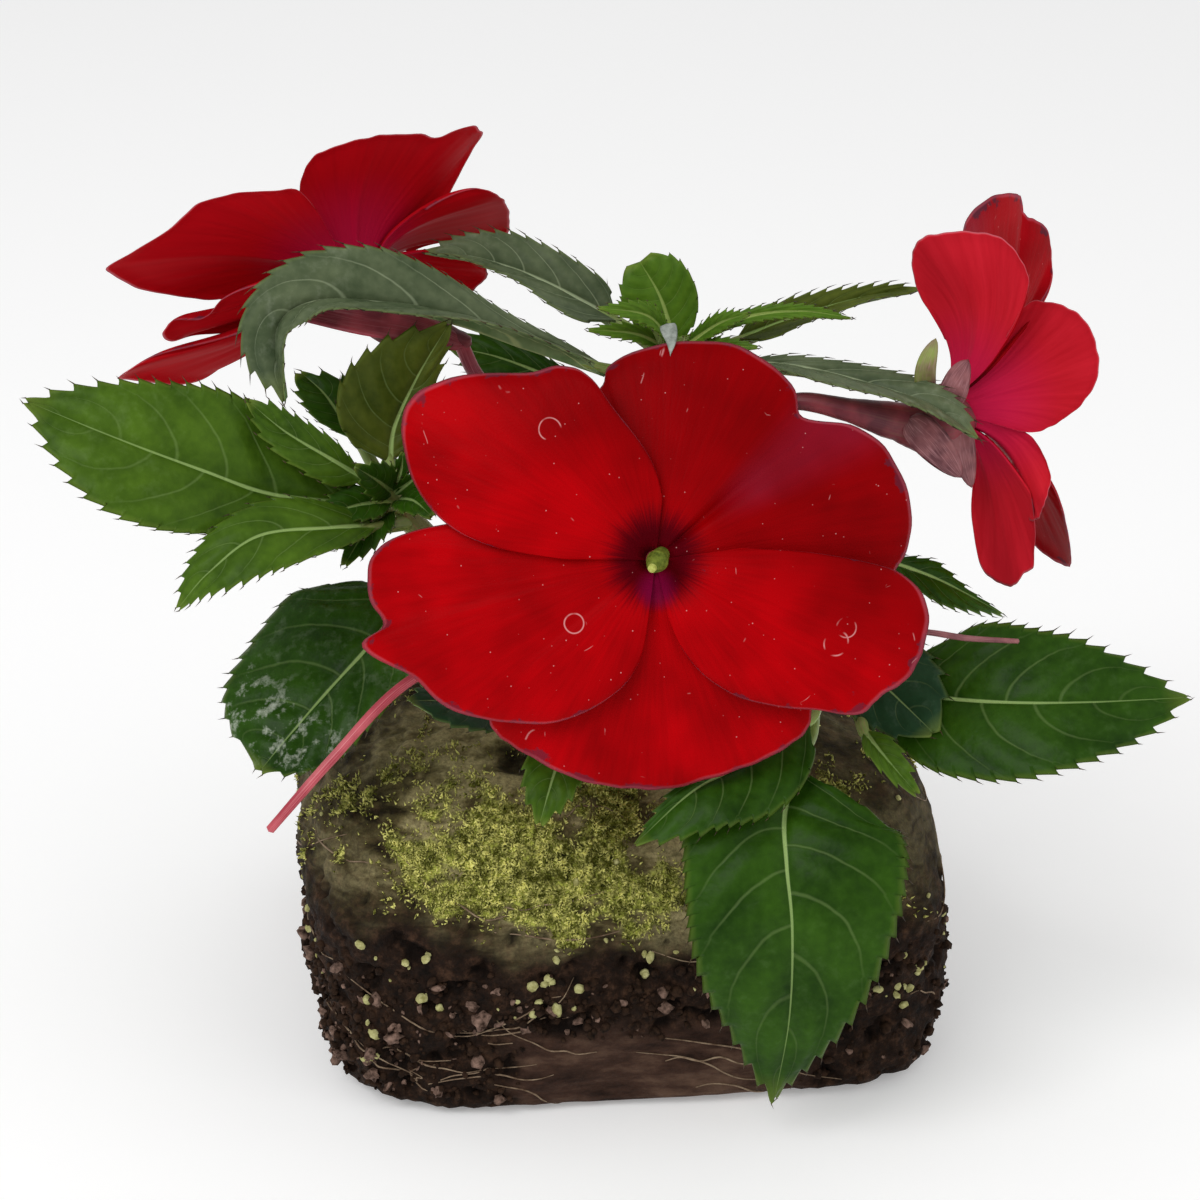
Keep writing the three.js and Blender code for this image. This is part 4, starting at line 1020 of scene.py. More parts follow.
def petal_sheet(bloom, petal, seed):
    """A petal with a softly waved rim, fine furrows from the throat and a crease down it."""
    rng = np.random.default_rng(seed)
    ray = np.linspace(0, 1, PETAL_RAYS + 1)
    ring = (np.linspace(0, 1, PETAL_RINGS + 1) ** 0.85)[:, None]
    angle, rim = spline(petal["rim"], ray).T
    for count in (7, 11, 17):
        rim = rim + rng.uniform(0.02, 0.07) * np.sin(2 * math.pi * (count * ray + rng.random()))
    reach = CLAW_RADIUS + (rim - CLAW_RADIUS) * ring
    points, normals = petal_surface(bloom, petal, angle[None, :] + 0 * ring, reach)
    spread = np.radians(angle)[None, :]
    lines = np.sin(57 * spread + 1.3) + np.sin(83 * spread + 2)
    furrows = FURROW_DEPTH * lines * ring * (1 - ring**4)
    waves = rng.uniform(2, 3.2)
    flutter = FLUTTER * np.sin(2 * math.pi * (waves * ray[None, :] + rng.random())) * ring**3
    crease_at, crease_depth = petal.get("crease", (petal["axis"], 0.4))
    beside = np.exp(-(((angle - crease_at)[None, :] / 5) ** 2))
    crease = -crease_depth * beside * np.sin(math.pi * ring**0.7)
    roll = -RIM_ROLL * np.clip((ring - 0.9) / 0.1, 0, 1) ** 2
    points = points + normals * (furrows + flutter + crease + roll)[..., None]
    thick = thin_border(PETAL_THICKNESS / 2 * np.sqrt(1 - ring**8) * np.ones_like(reach))
    fan = np.stack([reach * np.cos(spread), reach * np.sin(spread)], -1) / MAP_SPAN + 0.5
    blade = np.stack(np.broadcast_arrays(ray[None, :], ring), -1)
    finishes = petal.get("finishes", (0, 1))
    return closed_sheet(points, normals, thick, thick, finishes, blade=blade, fan=fan)


def sepal_shape(rib, face, half, finish, shape=(0.5, 0.7)):
    """A small smooth leaflet of the calyx, hollow towards its face."""
    share, side = np.linspace(0, 1, 19)[:, None], np.linspace(-1, 1, 11)[None, :]
    across = side * half * leaf_width(share, shape)
    along = share + 0 * side
    points, normals = bent_surface(rib, face, along, across, half, cup=35)
    thick = SEPAL_THICKNESS * np.sqrt(np.clip(1 - side**6, 0, 1)) * np.ones_like(along)
    thick = thin_border(thick)
    blade = np.stack([along, 0.5 + side / 2 + 0 * along], -1)
    return closed_sheet(points, normals, thick, thick, (finish, finish), blade=blade)


# The throat's hollow from its middle to its lip and back behind, as radius and height
THROAT_PROFILE = [
    (0.02, -4.6), (1.3, -4.5), (2.4, -3.9), (3.1, -2.9), (3.5, -3), (3.1, -4.2), (0.02, -5.4),
]


def throat_cup(bloom):
    """The hollow behind the anther cap, from which the petals spread."""
    out, right, up = bloom_axes(bloom["face"])
    points, faces = [], []
    for radius, height in THROAT_PROFILE:
        for j in range(THROAT_SIDES):
            angle = 2 * math.pi * j / THROAT_SIDES
            flat = right * math.cos(angle) + up * math.sin(angle)
            points.append(np.array(bloom["centre"], float) + flat * radius + out * height)
    for k in range(len(THROAT_PROFILE) - 1):
        for j in range(THROAT_SIDES):
            a, b = k * THROAT_SIDES + j, k * THROAT_SIDES + (j + 1) % THROAT_SIDES
            faces.append((a, a + THROAT_SIDES, b + THROAT_SIDES, b))
    fan, blade = (np.tile(place, (len(points), 1)) for place in ((0.5, 0.5), (0.5, 0.1)))
    return shape_of(points, faces, 0, fan=fan, blade=blade)


# Root ball
def ball_grid():
    """Points of the ball's skin, ring by ring from its underside to its crown, and their normals."""
    profile = spline([*BALL_RINGS, (44.6, BALL_HEIGHT)], np.linspace(0, 1, 2000))
    length = np.append(0, np.cumsum(np.linalg.norm(np.diff(profile, axis=0), axis=1)))
    even = np.linspace(0, length[-1], BALL_STEPS + 1)
    inset, height = (np.interp(even, length, profile[:, k])[:, None] for k in (0, 1))
    height = np.clip(height, 0, BALL_HEIGHT)
    angle = (2 * math.pi * np.arange(BALL_SIDES) / BALL_SIDES)[None, :]
    rise = np.minimum(1, height / BALL_FULL_HEIGHT)
    taper = 1 - BALL_TAPER * (1 - rise)
    wide, deep = (np.maximum(full / 2 * taper - inset, 0.3) for full in (BALL_WIDTH, BALL_DEPTH))
    rounding = np.clip(inset / CROWN_INSET, 0, 1)
    n = BALL_SQUARENESS + (CROWN_SQUARENESS - BALL_SQUARENESS) * rounding
    reach = (np.abs(np.cos(angle) / wide) ** n + np.abs(np.sin(angle) / deep) ** n) ** (-1 / n)
    lumps = np.sin(5 * angle + height / 4) + np.sin(11 * angle - height / 2.6)
    lumps = lumps * np.clip(height / 2, 0, 1) * np.clip(reach / 20, 0, 1)
    reach = reach + BALL_ROUGHNESS * lumps
    turn = angle + BALL_TURN * DEGREE
    x = reach * np.cos(turn) + BALL_LEAN * rise
    points = np.stack([x, reach * np.sin(turn), np.broadcast_to(height, x.shape)], -1)
    around = np.roll(points, -1, 1) - np.roll(points, 1, 1)
    upward = np.gradient(points, axis=0)
    return points, unit(np.cross(around, upward))


def smooth(value, low, high):
    """0 below low, 1 above high and a soft slope between."""
    t = np.clip((value - low) / (high - low), 0, 1)
    return t * t * (3 - 2 * t)


def field(points, grain, seed):
    """Soft noise from about -1 to 1 at points, with lumps of about the given size. It is sampled
    askew, so that its own lattice doesn't show."""
    shift = Vector((17.3 * seed, 5.1 * seed, 9.7 * seed))
    askew = np.array([(0.6, 0.8, 0), (-0.48, 0.36, 0.8), (0.64, -0.48, 0.6)])
    flat = points.reshape(-1, 3) @ askew / grain
    values = [noise.noise(Vector(p) + shift) for p in flat.tolist()]
    return np.array(values).reshape(points.shape[:-1])


def ball_ground(points):
    """Where moss grows, where the peat was pressed smooth, where algae tint it, where painted shade
    darkens its pits and its hole, and its relief."""
    x, y, z = (points[..., k] for k in range(3))
    sizes = ((13, 1), (4.5, 2), (1.7, 3), (0.8, 4))
    broad, middle, fine, grit = (field(points, grain, seed) for grain, seed in sizes)
    front = smooth(-y, 8, 30)

    edge = MOSS_EDGE + MOSS_EDGE_RISE * np.clip((-14 - x) / 16, 0, 1) * front + 2.5 * broad
    grown = smooth(z + 2.2 * middle, edge - 2, edge + 3)
    beside = (x - MOSS_PATCH[0] + 4 * broad) / MOSS_PATCH_SIZE[0]
    above = (z - MOSS_PATCH[1] + MOSS_PATCH_SLOPE * (x + 12)) / MOSS_PATCH_SIZE[1]
    patch = np.exp(-(beside**2 + above**2)) * front
    clumps = 0.8 * broad * (1 - patch) + 0.65 * middle + 0.4 * fine
    moss = grown * np.clip(1.3 * patch - 0.25 + clumps, 0, 1)
    moss = moss * (1 - 0.75 * smooth(z, 43.5, 47) * front)

    film = smooth(z + 2.5 * middle, edge - 4, edge + 5)
    film = film * (1 - 0.75 * smooth(x + 4 * middle, 18, 30))
    film = film * (1 - 0.55 * smooth(-x + 4 * middle, 27, 36))
    film = film * (0.5 + 0.5 * smooth(-y, -4, 22))

    smooth_front = smooth(x + 7 * broad + 2 * middle, -17, -11) * smooth(-x + 6 * broad, -26, -18)
    smooth_rest = smooth(broad + 0.3 * np.sin(y / 9), 0, 0.3) * (1 - front)
    pressed = smooth(-z + 2.5 * middle, -16, -11) * np.maximum(smooth_front * front, smooth_rest)

    hole_x, hole_y = (x - HOLE_PLACE[0]) / HOLE_SIZE[0], (y - HOLE_PLACE[1]) / HOLE_SIZE[1]
    hole = np.exp(-(hole_x**2 + hole_y**2)) * smooth(z, 19, 23)
    chunks = CHUNK_HEIGHT * (middle + 0.75 * fine + 0.35 * grit)
    pits = PIT_DEPTH * smooth(-middle - 0.6 * fine, 0.32, 0.62)
    fibres = 0.35 * np.sin(1.1 * x + 0.9 * z + 4 * broad + 2 * middle) * (1 - patch)
    tufts = 0.35 * fine + 0.3 * grit + 0.25 + fibres
    creases = 0.16 * np.sin(1.3 * z + 3.5 * broad + 1.6 * middle) + 0.1 * fine + 0.2 * middle
    relief = (chunks - pits) * (1 - grown) * (1 - pressed) + tufts * grown + creases * pressed
    relief = RELIEF * (relief - HOLE_DEPTH * hole) * smooth(z, 0, 1.5)
    relief = relief * (1 - 0.5 * smooth(x, 22, 30) * smooth(z, 26, 32))
    # Where painted shade darkens the pits and the hole
    shade_in_pits = np.clip(smooth(-relief, 0.25, 1.1) + hole, 0, 1)
    return moss, pressed, film * (1 - moss * 0.6), shade_in_pits, relief


def ball_shape():
    """The ball's shape, the points of its skin with the way they face, and where moss and pressed
    peat are on it."""
    points, normals = ball_grid()
    moss, pressed, film, shade_in_pits, relief = ball_ground(points)
    points = points + normals * relief[..., None]
    points[..., 2] = np.clip(points[..., 2], 0, None)
    rows, columns = points.shape[:2]
    index = np.arange(rows * columns).reshape(rows, columns)
    beside = np.roll(index, -1, 1)
    quads = np.stack([index[:-1], beside[:-1], beside[1:], index[1:]], -1).reshape(-1, 4)
    faces = [tuple(face) for face in quads.tolist()]
    faces += [tuple(index[0, ::-1].tolist()), tuple(index[-1].tolist())]
    ground = np.stack([moss, pressed], -1).reshape(-1, 2)
    cover = np.stack([film, shade_in_pits], -1).reshape(-1, 2)
    shape = shape_of(points.reshape(-1, 3), faces, 0, ground=ground, cover=cover)
    return shape, points, normals, moss, pressed


def pebble(seed, bumps=0.25, detail=2):
    """The points and faces of one uneven grain about 1 mm in radius."""
    work = bmesh.new()
    bmesh.ops.create_icosphere(work, subdivisions=detail, radius=1)
    shift = Vector((seed * 3.7, 0, 0))
    points = [v.co * (1 + bumps * noise.noise(v.co * 1.6 + shift)) for v in work.verts]
    faces = [tuple(v.index for v in face.verts) for face in work.faces]
    work.free()
    return np.array([tuple(p) for p in points]), faces


def tuft():
    """The points and faces of one leaflet of moss, a short three-sided spike along +Z."""
    ring = [(math.cos(angle), math.sin(angle), -0.5) for angle in (0, 2.09, 4.19)]
    return np.array([*ring, (0, 0, 3.2)]), SPIKE_FACES


def scattered(model, spots, normals, radii, rng, stretch=0.35, tilt=3.0, sink=0.35):
    """Copies of a small shape at spots. A large tilt turns them any way, a small one keeps their
    +Z near the normal. Each copy is sunk by a share of its radius."""
    base, faces = model
    count = len(spots)
    upward = unit(normals + tilt * rng.normal(size=(count, 3)))
    side = unit(np.cross(upward, rng.normal(size=(count, 3))))
    axes = np.stack([side, np.cross(upward, side), upward], 1)
    scale = radii[:, None] * (1 + stretch * rng.uniform(-1, 1, (count, 3)))
    turned = (base[None] * scale[:, None]) @ axes
    centre = spots + normals * (radii * (0.5 - sink))[:, None]
    points = (turned + centre[:, None]).reshape(-1, 3)
    index = np.array(faces)
    start = (np.arange(count) * len(base))[:, None, None]
    whole = (index[None] + start).reshape(-1, index.shape[1])
    return shape_of(points, [tuple(face) for face in whole.tolist()])


def pick(weights, count, rng):
    """Places in a grid, drawn by weight."""
    flat = np.clip(weights, 0, None).ravel()
    return rng.choice(len(flat), count, p=flat / flat.sum())


def on_front(points, x, z):
    """The place in the ball's grid on its front that is nearest to an x and a height."""
    gap = np.abs(points[..., 0] - x) + np.abs(points[..., 2] - z) + 100 * (points[..., 1] > -20)
    return int(np.argmin(gap))


# Materials
SOFT = {"interpolation_type": "SMOOTHSTEP"}


def colour(code):
    """An sRGB hex colour as linear red, green, blue and alpha."""
    parts = [int(code[k : k + 2], 16) / 255 for k in (1, 3, 5)]
    return (*(c / 12.92 if c <= 0.04045 else ((c + 0.055) / 1.055) ** 2.4 for c in parts), 1.0)


def add(tree, kind, feeds=(), out=0, stops=(), **settings):
    """Adds a node with its settings and gives one of its outputs. The feeds are values or links
    for its inputs, in their order or by their name or number, and stops are those of a ramp."""
    made = tree.nodes.new("ShaderNode" + kind)
    for name, value in settings.items():
        setattr(made, name, value)
    for name, value in feeds.items() if isinstance(feeds, dict) else enumerate(feeds):
        if isinstance(value, bpy.types.NodeSocket):
            tree.links.new(value, made.inputs[name])
        else:
            made.inputs[name].default_value = value
    for place, shade in stops[1:-1]:
        made.color_ramp.elements.new(place).color = colour(shade)
    for end in (0, -1) if stops else ():
        made.color_ramp.elements[end].position = stops[end][0]
        made.color_ramp.elements[end].color = colour(stops[end][1])
    return made.outputs[out]


def material(name):
    """A new material with an empty node tree."""
    made = bpy.data.materials.new(name)
    made.use_nodes = True
    made.node_tree.nodes.clear()
    return made, made.node_tree


def finish(tree, sockets):
    """Ends a material: its surface from the sockets, joined to the output."""
    output = tree.nodes.new("ShaderNodeOutputMaterial")
    tree.links.new(add(tree, "BsdfPrincipled", sockets), output.inputs["Surface"])


def grains(size):
    """The scale of a texture in metres whose lumps are about this many millimetres."""
    return 1 / (size * MM)


def mapped(tree, name):
    """The two numbers that a map gives each point."""
    parts = add(tree, "SeparateXYZ", {0: add(tree, "UVMap", uv_map=name)}).node
    return parts.outputs[0], parts.outputs[1]


def vein_gap(tree, signed, side, along, wobble=0.0, lumps=None):
    """How far a place on a leaf is from the nearest side vein, from 0 on it to 0.5 between two."""
    bend = add(tree, "Math", (side, VEIN_CURVE), operation="POWER")
    start = add(tree, "Math", (bend, -VEIN_BEND, along), operation="MULTIPLY_ADD")
    right = add(tree, "Math", (signed, 0.0), operation="GREATER_THAN")
    turn = add(tree, "Math", (right, VEIN_OFFSET), operation="MULTIPLY")
    phase = add(tree, "Math", (start, VEIN_COUNT, turn), operation="MULTIPLY_ADD")
    if lumps:
        phase = add(tree, "Math", (lumps, wobble, phase), operation="MULTIPLY_ADD")
    return add(tree, "Math", (phase, 0.5), operation="PINGPONG")


def leaf_top(
    name, deep, fresh, vein="#A9C57A", roughness=0.36, residue=0.0, tip="#7E8F3C", veins=0.12
):
    """Waxy upper skin of a leaf: soft gloss, pale midrib, sunken side veins, light rim. Residue
    is the share of whitish dried spray on it, and veins how far its side veins stand out."""
    made, tree = material(name)
    along, width = mapped(tree, "blade")
    place = add(tree, "TexCoord", out="Object")
    signed = add(tree, "Math", (width, 2.0, -1.0), operation="MULTIPLY_ADD")
    side = add(tree, "Math", (signed,), operation="ABSOLUTE")
    wobble = add(tree, "TexNoise", {"Vector": place, "Scale": grains(5), "Detail": 2.0})
    gap = vein_gap(tree, signed, side, along, 0.14, wobble)
    line = add(tree, "MapRange", (gap, 0.006, 0.05, 1.0, 0.0), **SOFT)
    inner = add(tree, "MapRange", (side, 0.6, 0.95, 1.0, 0.15))
    line = add(tree, "Math", (line, inner), operation="MULTIPLY")

    # Midrib, narrower towards the tip
    across = mapped(tree, "size")[1]
    across = add(tree, "Math", (across, MAP_SPAN, -MAP_SPAN / 2), operation="MULTIPLY_ADD")
    across = add(tree, "Math", (across,), operation="ABSOLUTE")
    rib_edge = add(tree, "MapRange", (along, 0.0, 1.0, 0.5, 0.05))
    rib = add(tree, "Math", (across, rib_edge), operation="DIVIDE")
    rib = add(tree, "MapRange", (rib, 0.45, 1.0, 1.0, 0.0), **SOFT)
    fading = add(tree, "MapRange", (along, 0.3, 1.0, 0.75, 0.2))
    rib = add(tree, "Math", (rib, fading), operation="MULTIPLY")

    # Mottled green, with painted shade along the side veins and painted light on the flesh that swells
    # between them
    broad = {"Vector": place, "Scale": grains(11), "Detail": 3.0, "Roughness": 0.6}
    broad = add(tree, "TexNoise", broad)
    mottle = add(tree, "TexNoise", {"Vector": place, "Scale": grains(1.1), "Detail": 2.0})
    blend = add(tree, "Math", (mottle, 0.35, broad), operation="MULTIPLY_ADD")
    # Painted shade at the side veins, painted light between them
    swell = add(tree, "MapRange", (gap, 0.0, 0.5, -0.06, 0.05))
    blend = add(tree, "Math", (blend, swell), operation="ADD")
    skin = add(tree, "ValToRGB", (blend,), stops=[(0.36, deep), (0.98, fresh)])
    nearing = add(tree, "MapRange", (along, 0.55, 0.9, veins, 0.4 * veins))
    faint = add(tree, "Math", (line, nearing), operation="MULTIPLY")
    skin = add(tree, "Mix", {0: faint, 6: skin, 7: colour(vein)}, 2, data_type="RGBA")
    skin = add(tree, "Mix", {0: rib, 6: skin, 7: colour(vein)}, 2, data_type="RGBA")
    rim = add(tree, "MapRange", (side, 0.93, 1.0, 0.0, 0.25))
    skin = add(tree, "Mix", {0: rim, 6: skin, 7: colour(tip)}, 2, data_type="RGBA")
    end = add(tree, "MapRange", (along, 0.93, 1.02, 0.0, 0.45))
    skin = add(tree, "Mix", {0: end, 6: skin, 7: colour(tip)}, 2, data_type="RGBA")

    # Dried spray, thickest past the middle of the blade
    dust = {"Vector": place, "Scale": grains(2.2), "Detail": 5.0, "Roughness": 0.7}
    dust = add(tree, "TexNoise", dust)
    dust = add(tree, "MapRange", (dust, 0.53, 0.74, 0.0, residue))
    wet = add(tree, "MapRange", (along, 0.5, 0.66, 0.12, 1.0), **SOFT)
    dried = add(tree, "MapRange", (along, 0.86, 0.97, 1.0, 0.2), **SOFT)
    dust = add(tree, "Math", (dust, wet), operation="MULTIPLY")
    dust = add(tree, "Math", (dust, dried), operation="MULTIPLY")
    skin = add(tree, "Mix", {0: dust, 6: skin, 7: colour("#C4CABC")}, 2, data_type="RGBA")

    cells = add(tree, "TexVoronoi", {"Vector": place, "Scale": grains(0.55)})
    height = add(tree, "Math", (cells, 0.25, mottle), operation="MULTIPLY_ADD")
    height = add(tree, "Math", (line, -0.9, height), operation="MULTIPLY_ADD")
    bump = add(tree, "Bump", {"Height": height, "Strength": 0.5, "Distance": 0.12 * MM})
    rough = add(tree, "Math", (mottle, 0.16, roughness - 0.08), operation="MULTIPLY_ADD")
    sockets = {"Base Color": skin, "Roughness": rough, "Normal": bump, "IOR": 1.45}
    sockets.update({"Specular IOR Level": 0.09, "Coat Weight": 0.01, "Coat Roughness": 0.25})
    finish(tree, sockets)
    return made


def leaf_back(name, flesh="#5E7A4C", pale="#7E9466", vein="#A9B87E"):
    """Matt underside of a leaf: greyer and paler than the top, with raised pale veins."""
    made, tree = material(name)
    along, width = mapped(tree, "blade")
    place = add(tree, "TexCoord", out="Object")
    signed = add(tree, "Math", (width, 2.0, -1.0), operation="MULTIPLY_ADD")
    side = add(tree, "Math", (signed,), operation="ABSOLUTE")
    gap = vein_gap(tree, signed, side, along)
    line = add(tree, "MapRange", (gap, 0.02, 0.1, 0.6, 0.0), **SOFT)
    rib = add(tree, "MapRange", (side, 0.03, 0.09, 0.8, 0.0), **SOFT)
    veins = add(tree, "Math", (line, rib), operation="MAXIMUM")
    mottle = {"Vector": place, "Scale": grains(3), "Detail": 4.0, "Roughness": 0.6}
    mottle = add(tree, "TexNoise", mottle)
    skin = add(tree, "ValToRGB", (mottle,), stops=[(0.35, flesh), (0.7, pale)])
    skin = add(tree, "Mix", {0: veins, 6: skin, 7: colour(vein)}, 2, data_type="RGBA")
    height = add(tree, "Math", (mottle, veins), operation="ADD")
    bump = add(tree, "Bump", {"Height": height, "Strength": 0.4, "Distance": 0.12 * MM})
    sockets = {"Base Color": skin, "Roughness": 0.62, "Normal": bump, "IOR": 1.42}
    sockets["Specular IOR Level"] = 0.2
    finish(tree, sockets)
    return made


def fleshy(name, pale, dark, streak="#C8A0A8", streaks=0.25, roughness=0.38):
    """Juicy skin of a stem or stalk: smooth, a little shiny, with faint streaks along it."""
    made, tree = material(name)
    blade = add(tree, "UVMap", uv_map="blade")
    place = add(tree, "TexCoord", out="Object")
    stretched = add(tree, "VectorMath", (blade, (4.0, 22.0, 1.0)), operation="MULTIPLY")
    lines = add(tree, "TexNoise", {"Vector": stretched, "Scale": 1.0, "Detail": 2.0})
    patches = add(tree, "TexNoise", {"Vector": place, "Scale": grains(4), "Detail": 3.0})
    skin = add(tree, "ValToRGB", (patches,), stops=[(0.38, dark), (0.64, pale)])
    share = add(tree, "MapRange", (lines, 0.5, 0.7, 0.0, streaks))
    skin = add(tree, "Mix", {0: share, 6: skin, 7: colour(streak)}, 2, data_type="RGBA")
    bump = add(tree, "Bump", {"Height": lines, "Strength": 0.35, "Distance": 0.15 * MM})
    sockets = {"Base Color": skin, "Roughness": roughness, "Normal": bump, "IOR": 1.42}
    sockets["Specular IOR Level"] = 0.3
    finish(tree, sockets)
    return made


def petal_place(tree):
    """A place on a petal in millimetres from the throat, its reach and its angle."""
    fan = add(tree, "UVMap", uv_map="fan")
    plane = add(tree, "VectorMath", (fan, (-0.5, -0.5, 0)), operation="ADD")
    spot = add(tree, "VectorMath", {0: plane, "Scale": MAP_SPAN}, operation="SCALE")
    reach = add(tree, "VectorMath", (spot,), 1, operation="LENGTH")
    apart = add(tree, "SeparateXYZ", (spot,)).node
    angle = add(tree, "Math", (apart.outputs[1], apart.outputs[0]), operation="ARCTAN2")
    return spot, reach, angle


def petal_streaks(tree, angle, reach, turns, stretch):
    """Fine streaks that spread from the throat."""
    turn = add(tree, "Math", (angle, turns), operation="MULTIPLY")
    outward = add(tree, "Math", (reach, stretch), operation="MULTIPLY")
    polar = add(tree, "CombineXYZ", (turn, outward))
    noisy = {"Vector": polar, "Scale": 1.0, "Detail": 3.0, "Roughness": 0.6}
    return add(tree, "TexNoise", noisy)


def petal_scars(tree, spot, cloud, marks):
    """Tiny white scars, hairline scratches and round marks, given as x, y and radius."""
    cells = {"Vector": spot, "Scale": 0.75, "Randomness": 1.0}
    cells = add(tree, "TexVoronoi", cells).node
    scars = add(tree, "MapRange", (cells.outputs[0], 0.03, 0.075, 0.7, 0.0))
    few = add(tree, "SeparateColor", (cells.outputs[1],))
    few = add(tree, "MapRange", (few, 0.3, 0.8, 0.0, 1.0))
    scars = add(tree, "Math", (scars, few), operation="MULTIPLY")
    warp = add(tree, "TexNoise", {"Vector": spot, "Scale": 0.12, "Detail": 1.0}, 1)
    warp = add(tree, "VectorMath", {0: warp, "Scale": 9.0}, operation="SCALE")
    bent = add(tree, "VectorMath", (warp, spot), operation="ADD")
    hair = {"Vector": bent, "Scale": 0.1}
    hair = add(tree, "TexVoronoi", hair, feature="DISTANCE_TO_EDGE")
    hair = add(tree, "MapRange", (hair, 0.002, 0.008, 0.45, 0.0))
    seldom = add(tree, "TexNoise", {"Vector": spot, "Scale": 0.3, "Detail": 2.0})
    broken = add(tree, "MapRange", (seldom, 0.47, 0.55, 0.0, 1.0))
    seldom = add(tree, "MapRange", (seldom, 0.63, 0.68, 0.0, 1.0))
    hair = add(tree, "Math", (hair, seldom), operation="MULTIPLY")
    scars = add(tree, "Math", (scars, hair), operation="MAXIMUM")
    for x, y, radius in marks:
        away = add(tree, "VectorMath", (spot, (x, y, 0)), 1, operation="DISTANCE")
        uneven = add(tree, "Math", (cloud, 2.5, away), operation="MULTIPLY_ADD")
        loop = add(tree, "Math", (uneven, radius + 1.25), operation="SUBTRACT")
        loop = add(tree, "Math", (loop,), operation="ABSOLUTE")
        loop = add(tree, "MapRange", (loop, 0.04, 0.12, 0.6, 0.0))
        loop = add(tree, "Math", (loop, broken), operation="MULTIPLY")
        scars = add(tree, "Math", (scars, loop), operation="MAXIMUM")
    return scars


def petal_face(name, deep, bright, wear=0.6, upper=0.0, marks=()):
    """Velvety upper skin of a red petal: saturated, finely furrowed, dark at the throat, with a thin
    pale rim that is a painted highlight, bruises and scars. Upper is how much painted shade darkens it
    towards the upper right of the bloom."""
    made, tree = material(name)
    spot, reach, angle = petal_place(tree)
    ring = mapped(tree, "blade")[1]
    streaks = petal_streaks(tree, angle, reach, 26.0, 0.12)
    cloud = add(tree, "TexNoise", {"Vector": spot, "Scale": 0.09, "Detail": 2.0})
    tone = add(tree, "Math", (streaks, 0.35, cloud), operation="MULTIPLY_ADD")
    skin = add(tree, "ValToRGB", (tone,), stops=[(0.45, deep), (0.85, bright)])
    # Painted shade: darker towards the upper right of the bloom
    aloft = add(tree, "VectorMath", (spot, (0.55, 0.83, 0)), 1, operation="DOT_PRODUCT")
    shade = add(tree, "MapRange", (aloft, 1.0, 13.0, 0.0, upper), **SOFT)
    skin = add(tree, "Mix", {0: shade, 6: skin, 7: colour("#5E0002")}, 2, data_type="RGBA")

    # Painted purplish shade and sheen in a band along the fold of the petal at the upper right
    fold = add(tree, "Math", (angle, 0.65), operation="SUBTRACT")
    fold = add(tree, "Math", (fold,), operation="ABSOLUTE")
    fold = add(tree, "MapRange", (fold, 0.04, 0.26, 1.0, 0.0), **SOFT)
    crease_shade = add(tree, "MapRange", (reach, 8.0, 17.0, 0.0, 0.6), **SOFT)
    crease_shade = add(tree, "Math", (crease_shade, fold), operation="MULTIPLY")
    crease_shade = add(tree, "Math", (crease_shade, cloud), operation="MULTIPLY")
    skin = add(tree, "Mix", {0: crease_shade, 6: skin, 7: colour("#6E2038")}, 2, data_type="RGBA")

    # Dark throat with a magenta patch below it
    ragged = add(tree, "Math", (streaks, 4.0, reach), operation="MULTIPLY_ADD")
    throat = add(tree, "MapRange", (ragged, 5.5, 9.5, 0.9, 0.0), **SOFT)
    skin = add(tree, "Mix", {0: throat, 6: skin, 7: colour("#4C000C")}, 2, data_type="RGBA")
    under = add(tree, "VectorMath", (spot, (0.2, -3.6, 0)), 1, operation="DISTANCE")
    patch = add(tree, "MapRange", (under, 0.8, 3.2, 0.8, 0.0), **SOFT)
    skin = add(tree, "Mix", {0: patch, 6: skin, 7: colour("#7C0638")}, 2, data_type="RGBA")

    # Bruises, mostly at the rim, and a thin pale edge along the rim, a painted highlight where it
    # curls
    bruise = {"Vector": spot, "Scale": 0.23, "Detail": 4.0, "Roughness": 0.65}
    bruise = add(tree, "TexNoise", bruise)
    edge = add(tree, "MapRange", (ring, 0.92, 1.0, 0.0, 0.25))
    bruise = add(tree, "Math", (bruise, edge), operation="ADD")
    bruise = add(tree, "MapRange", (bruise, 0.7, 0.76, 0.0, wear), **SOFT)
    skin = add(tree, "Mix", {0: bruise, 6: skin, 7: colour("#4A2436")}, 2, data_type="RGBA")
    # Painted highlight along the curled rim
    uneven = add(tree, "Math", (cloud, 0.03, ring), operation="MULTIPLY_ADD")
    thin = add(tree, "MapRange", (uneven, 0.992, 1.008, 0.0, 0.5), **SOFT)
    skin = add(tree, "Mix", {0: thin, 6: skin, 7: colour("#C85868")}, 2, data_type="RGBA")
    scars = petal_scars(tree, spot, cloud, marks)
    skin = add(tree, "Mix", {0: scars, 6: skin, 7: colour("#E8A8A8")}, 2, data_type="RGBA")

    velvet = add(tree, "TexNoise", {"Vector": spot, "Scale": 3.2, "Detail": 2.0})
    height = add(tree, "Math", (streaks, 1.6, velvet), operation="MULTIPLY_ADD")
    bump = add(tree, "Bump", {"Height": height, "Strength": 0.4, "Distance": 0.12 * MM})
    sockets = {"Base Color": skin, "Roughness": 0.45, "Normal": bump, "IOR": 1.36}
    sockets.update({"Specular IOR Level": 0.04, "Sheen Weight": 0.01})
    sockets.update({"Sheen Roughness": 0.4, "Sheen Tint": colour("#8C3A52")})
    finish(tree, sockets)
    return made


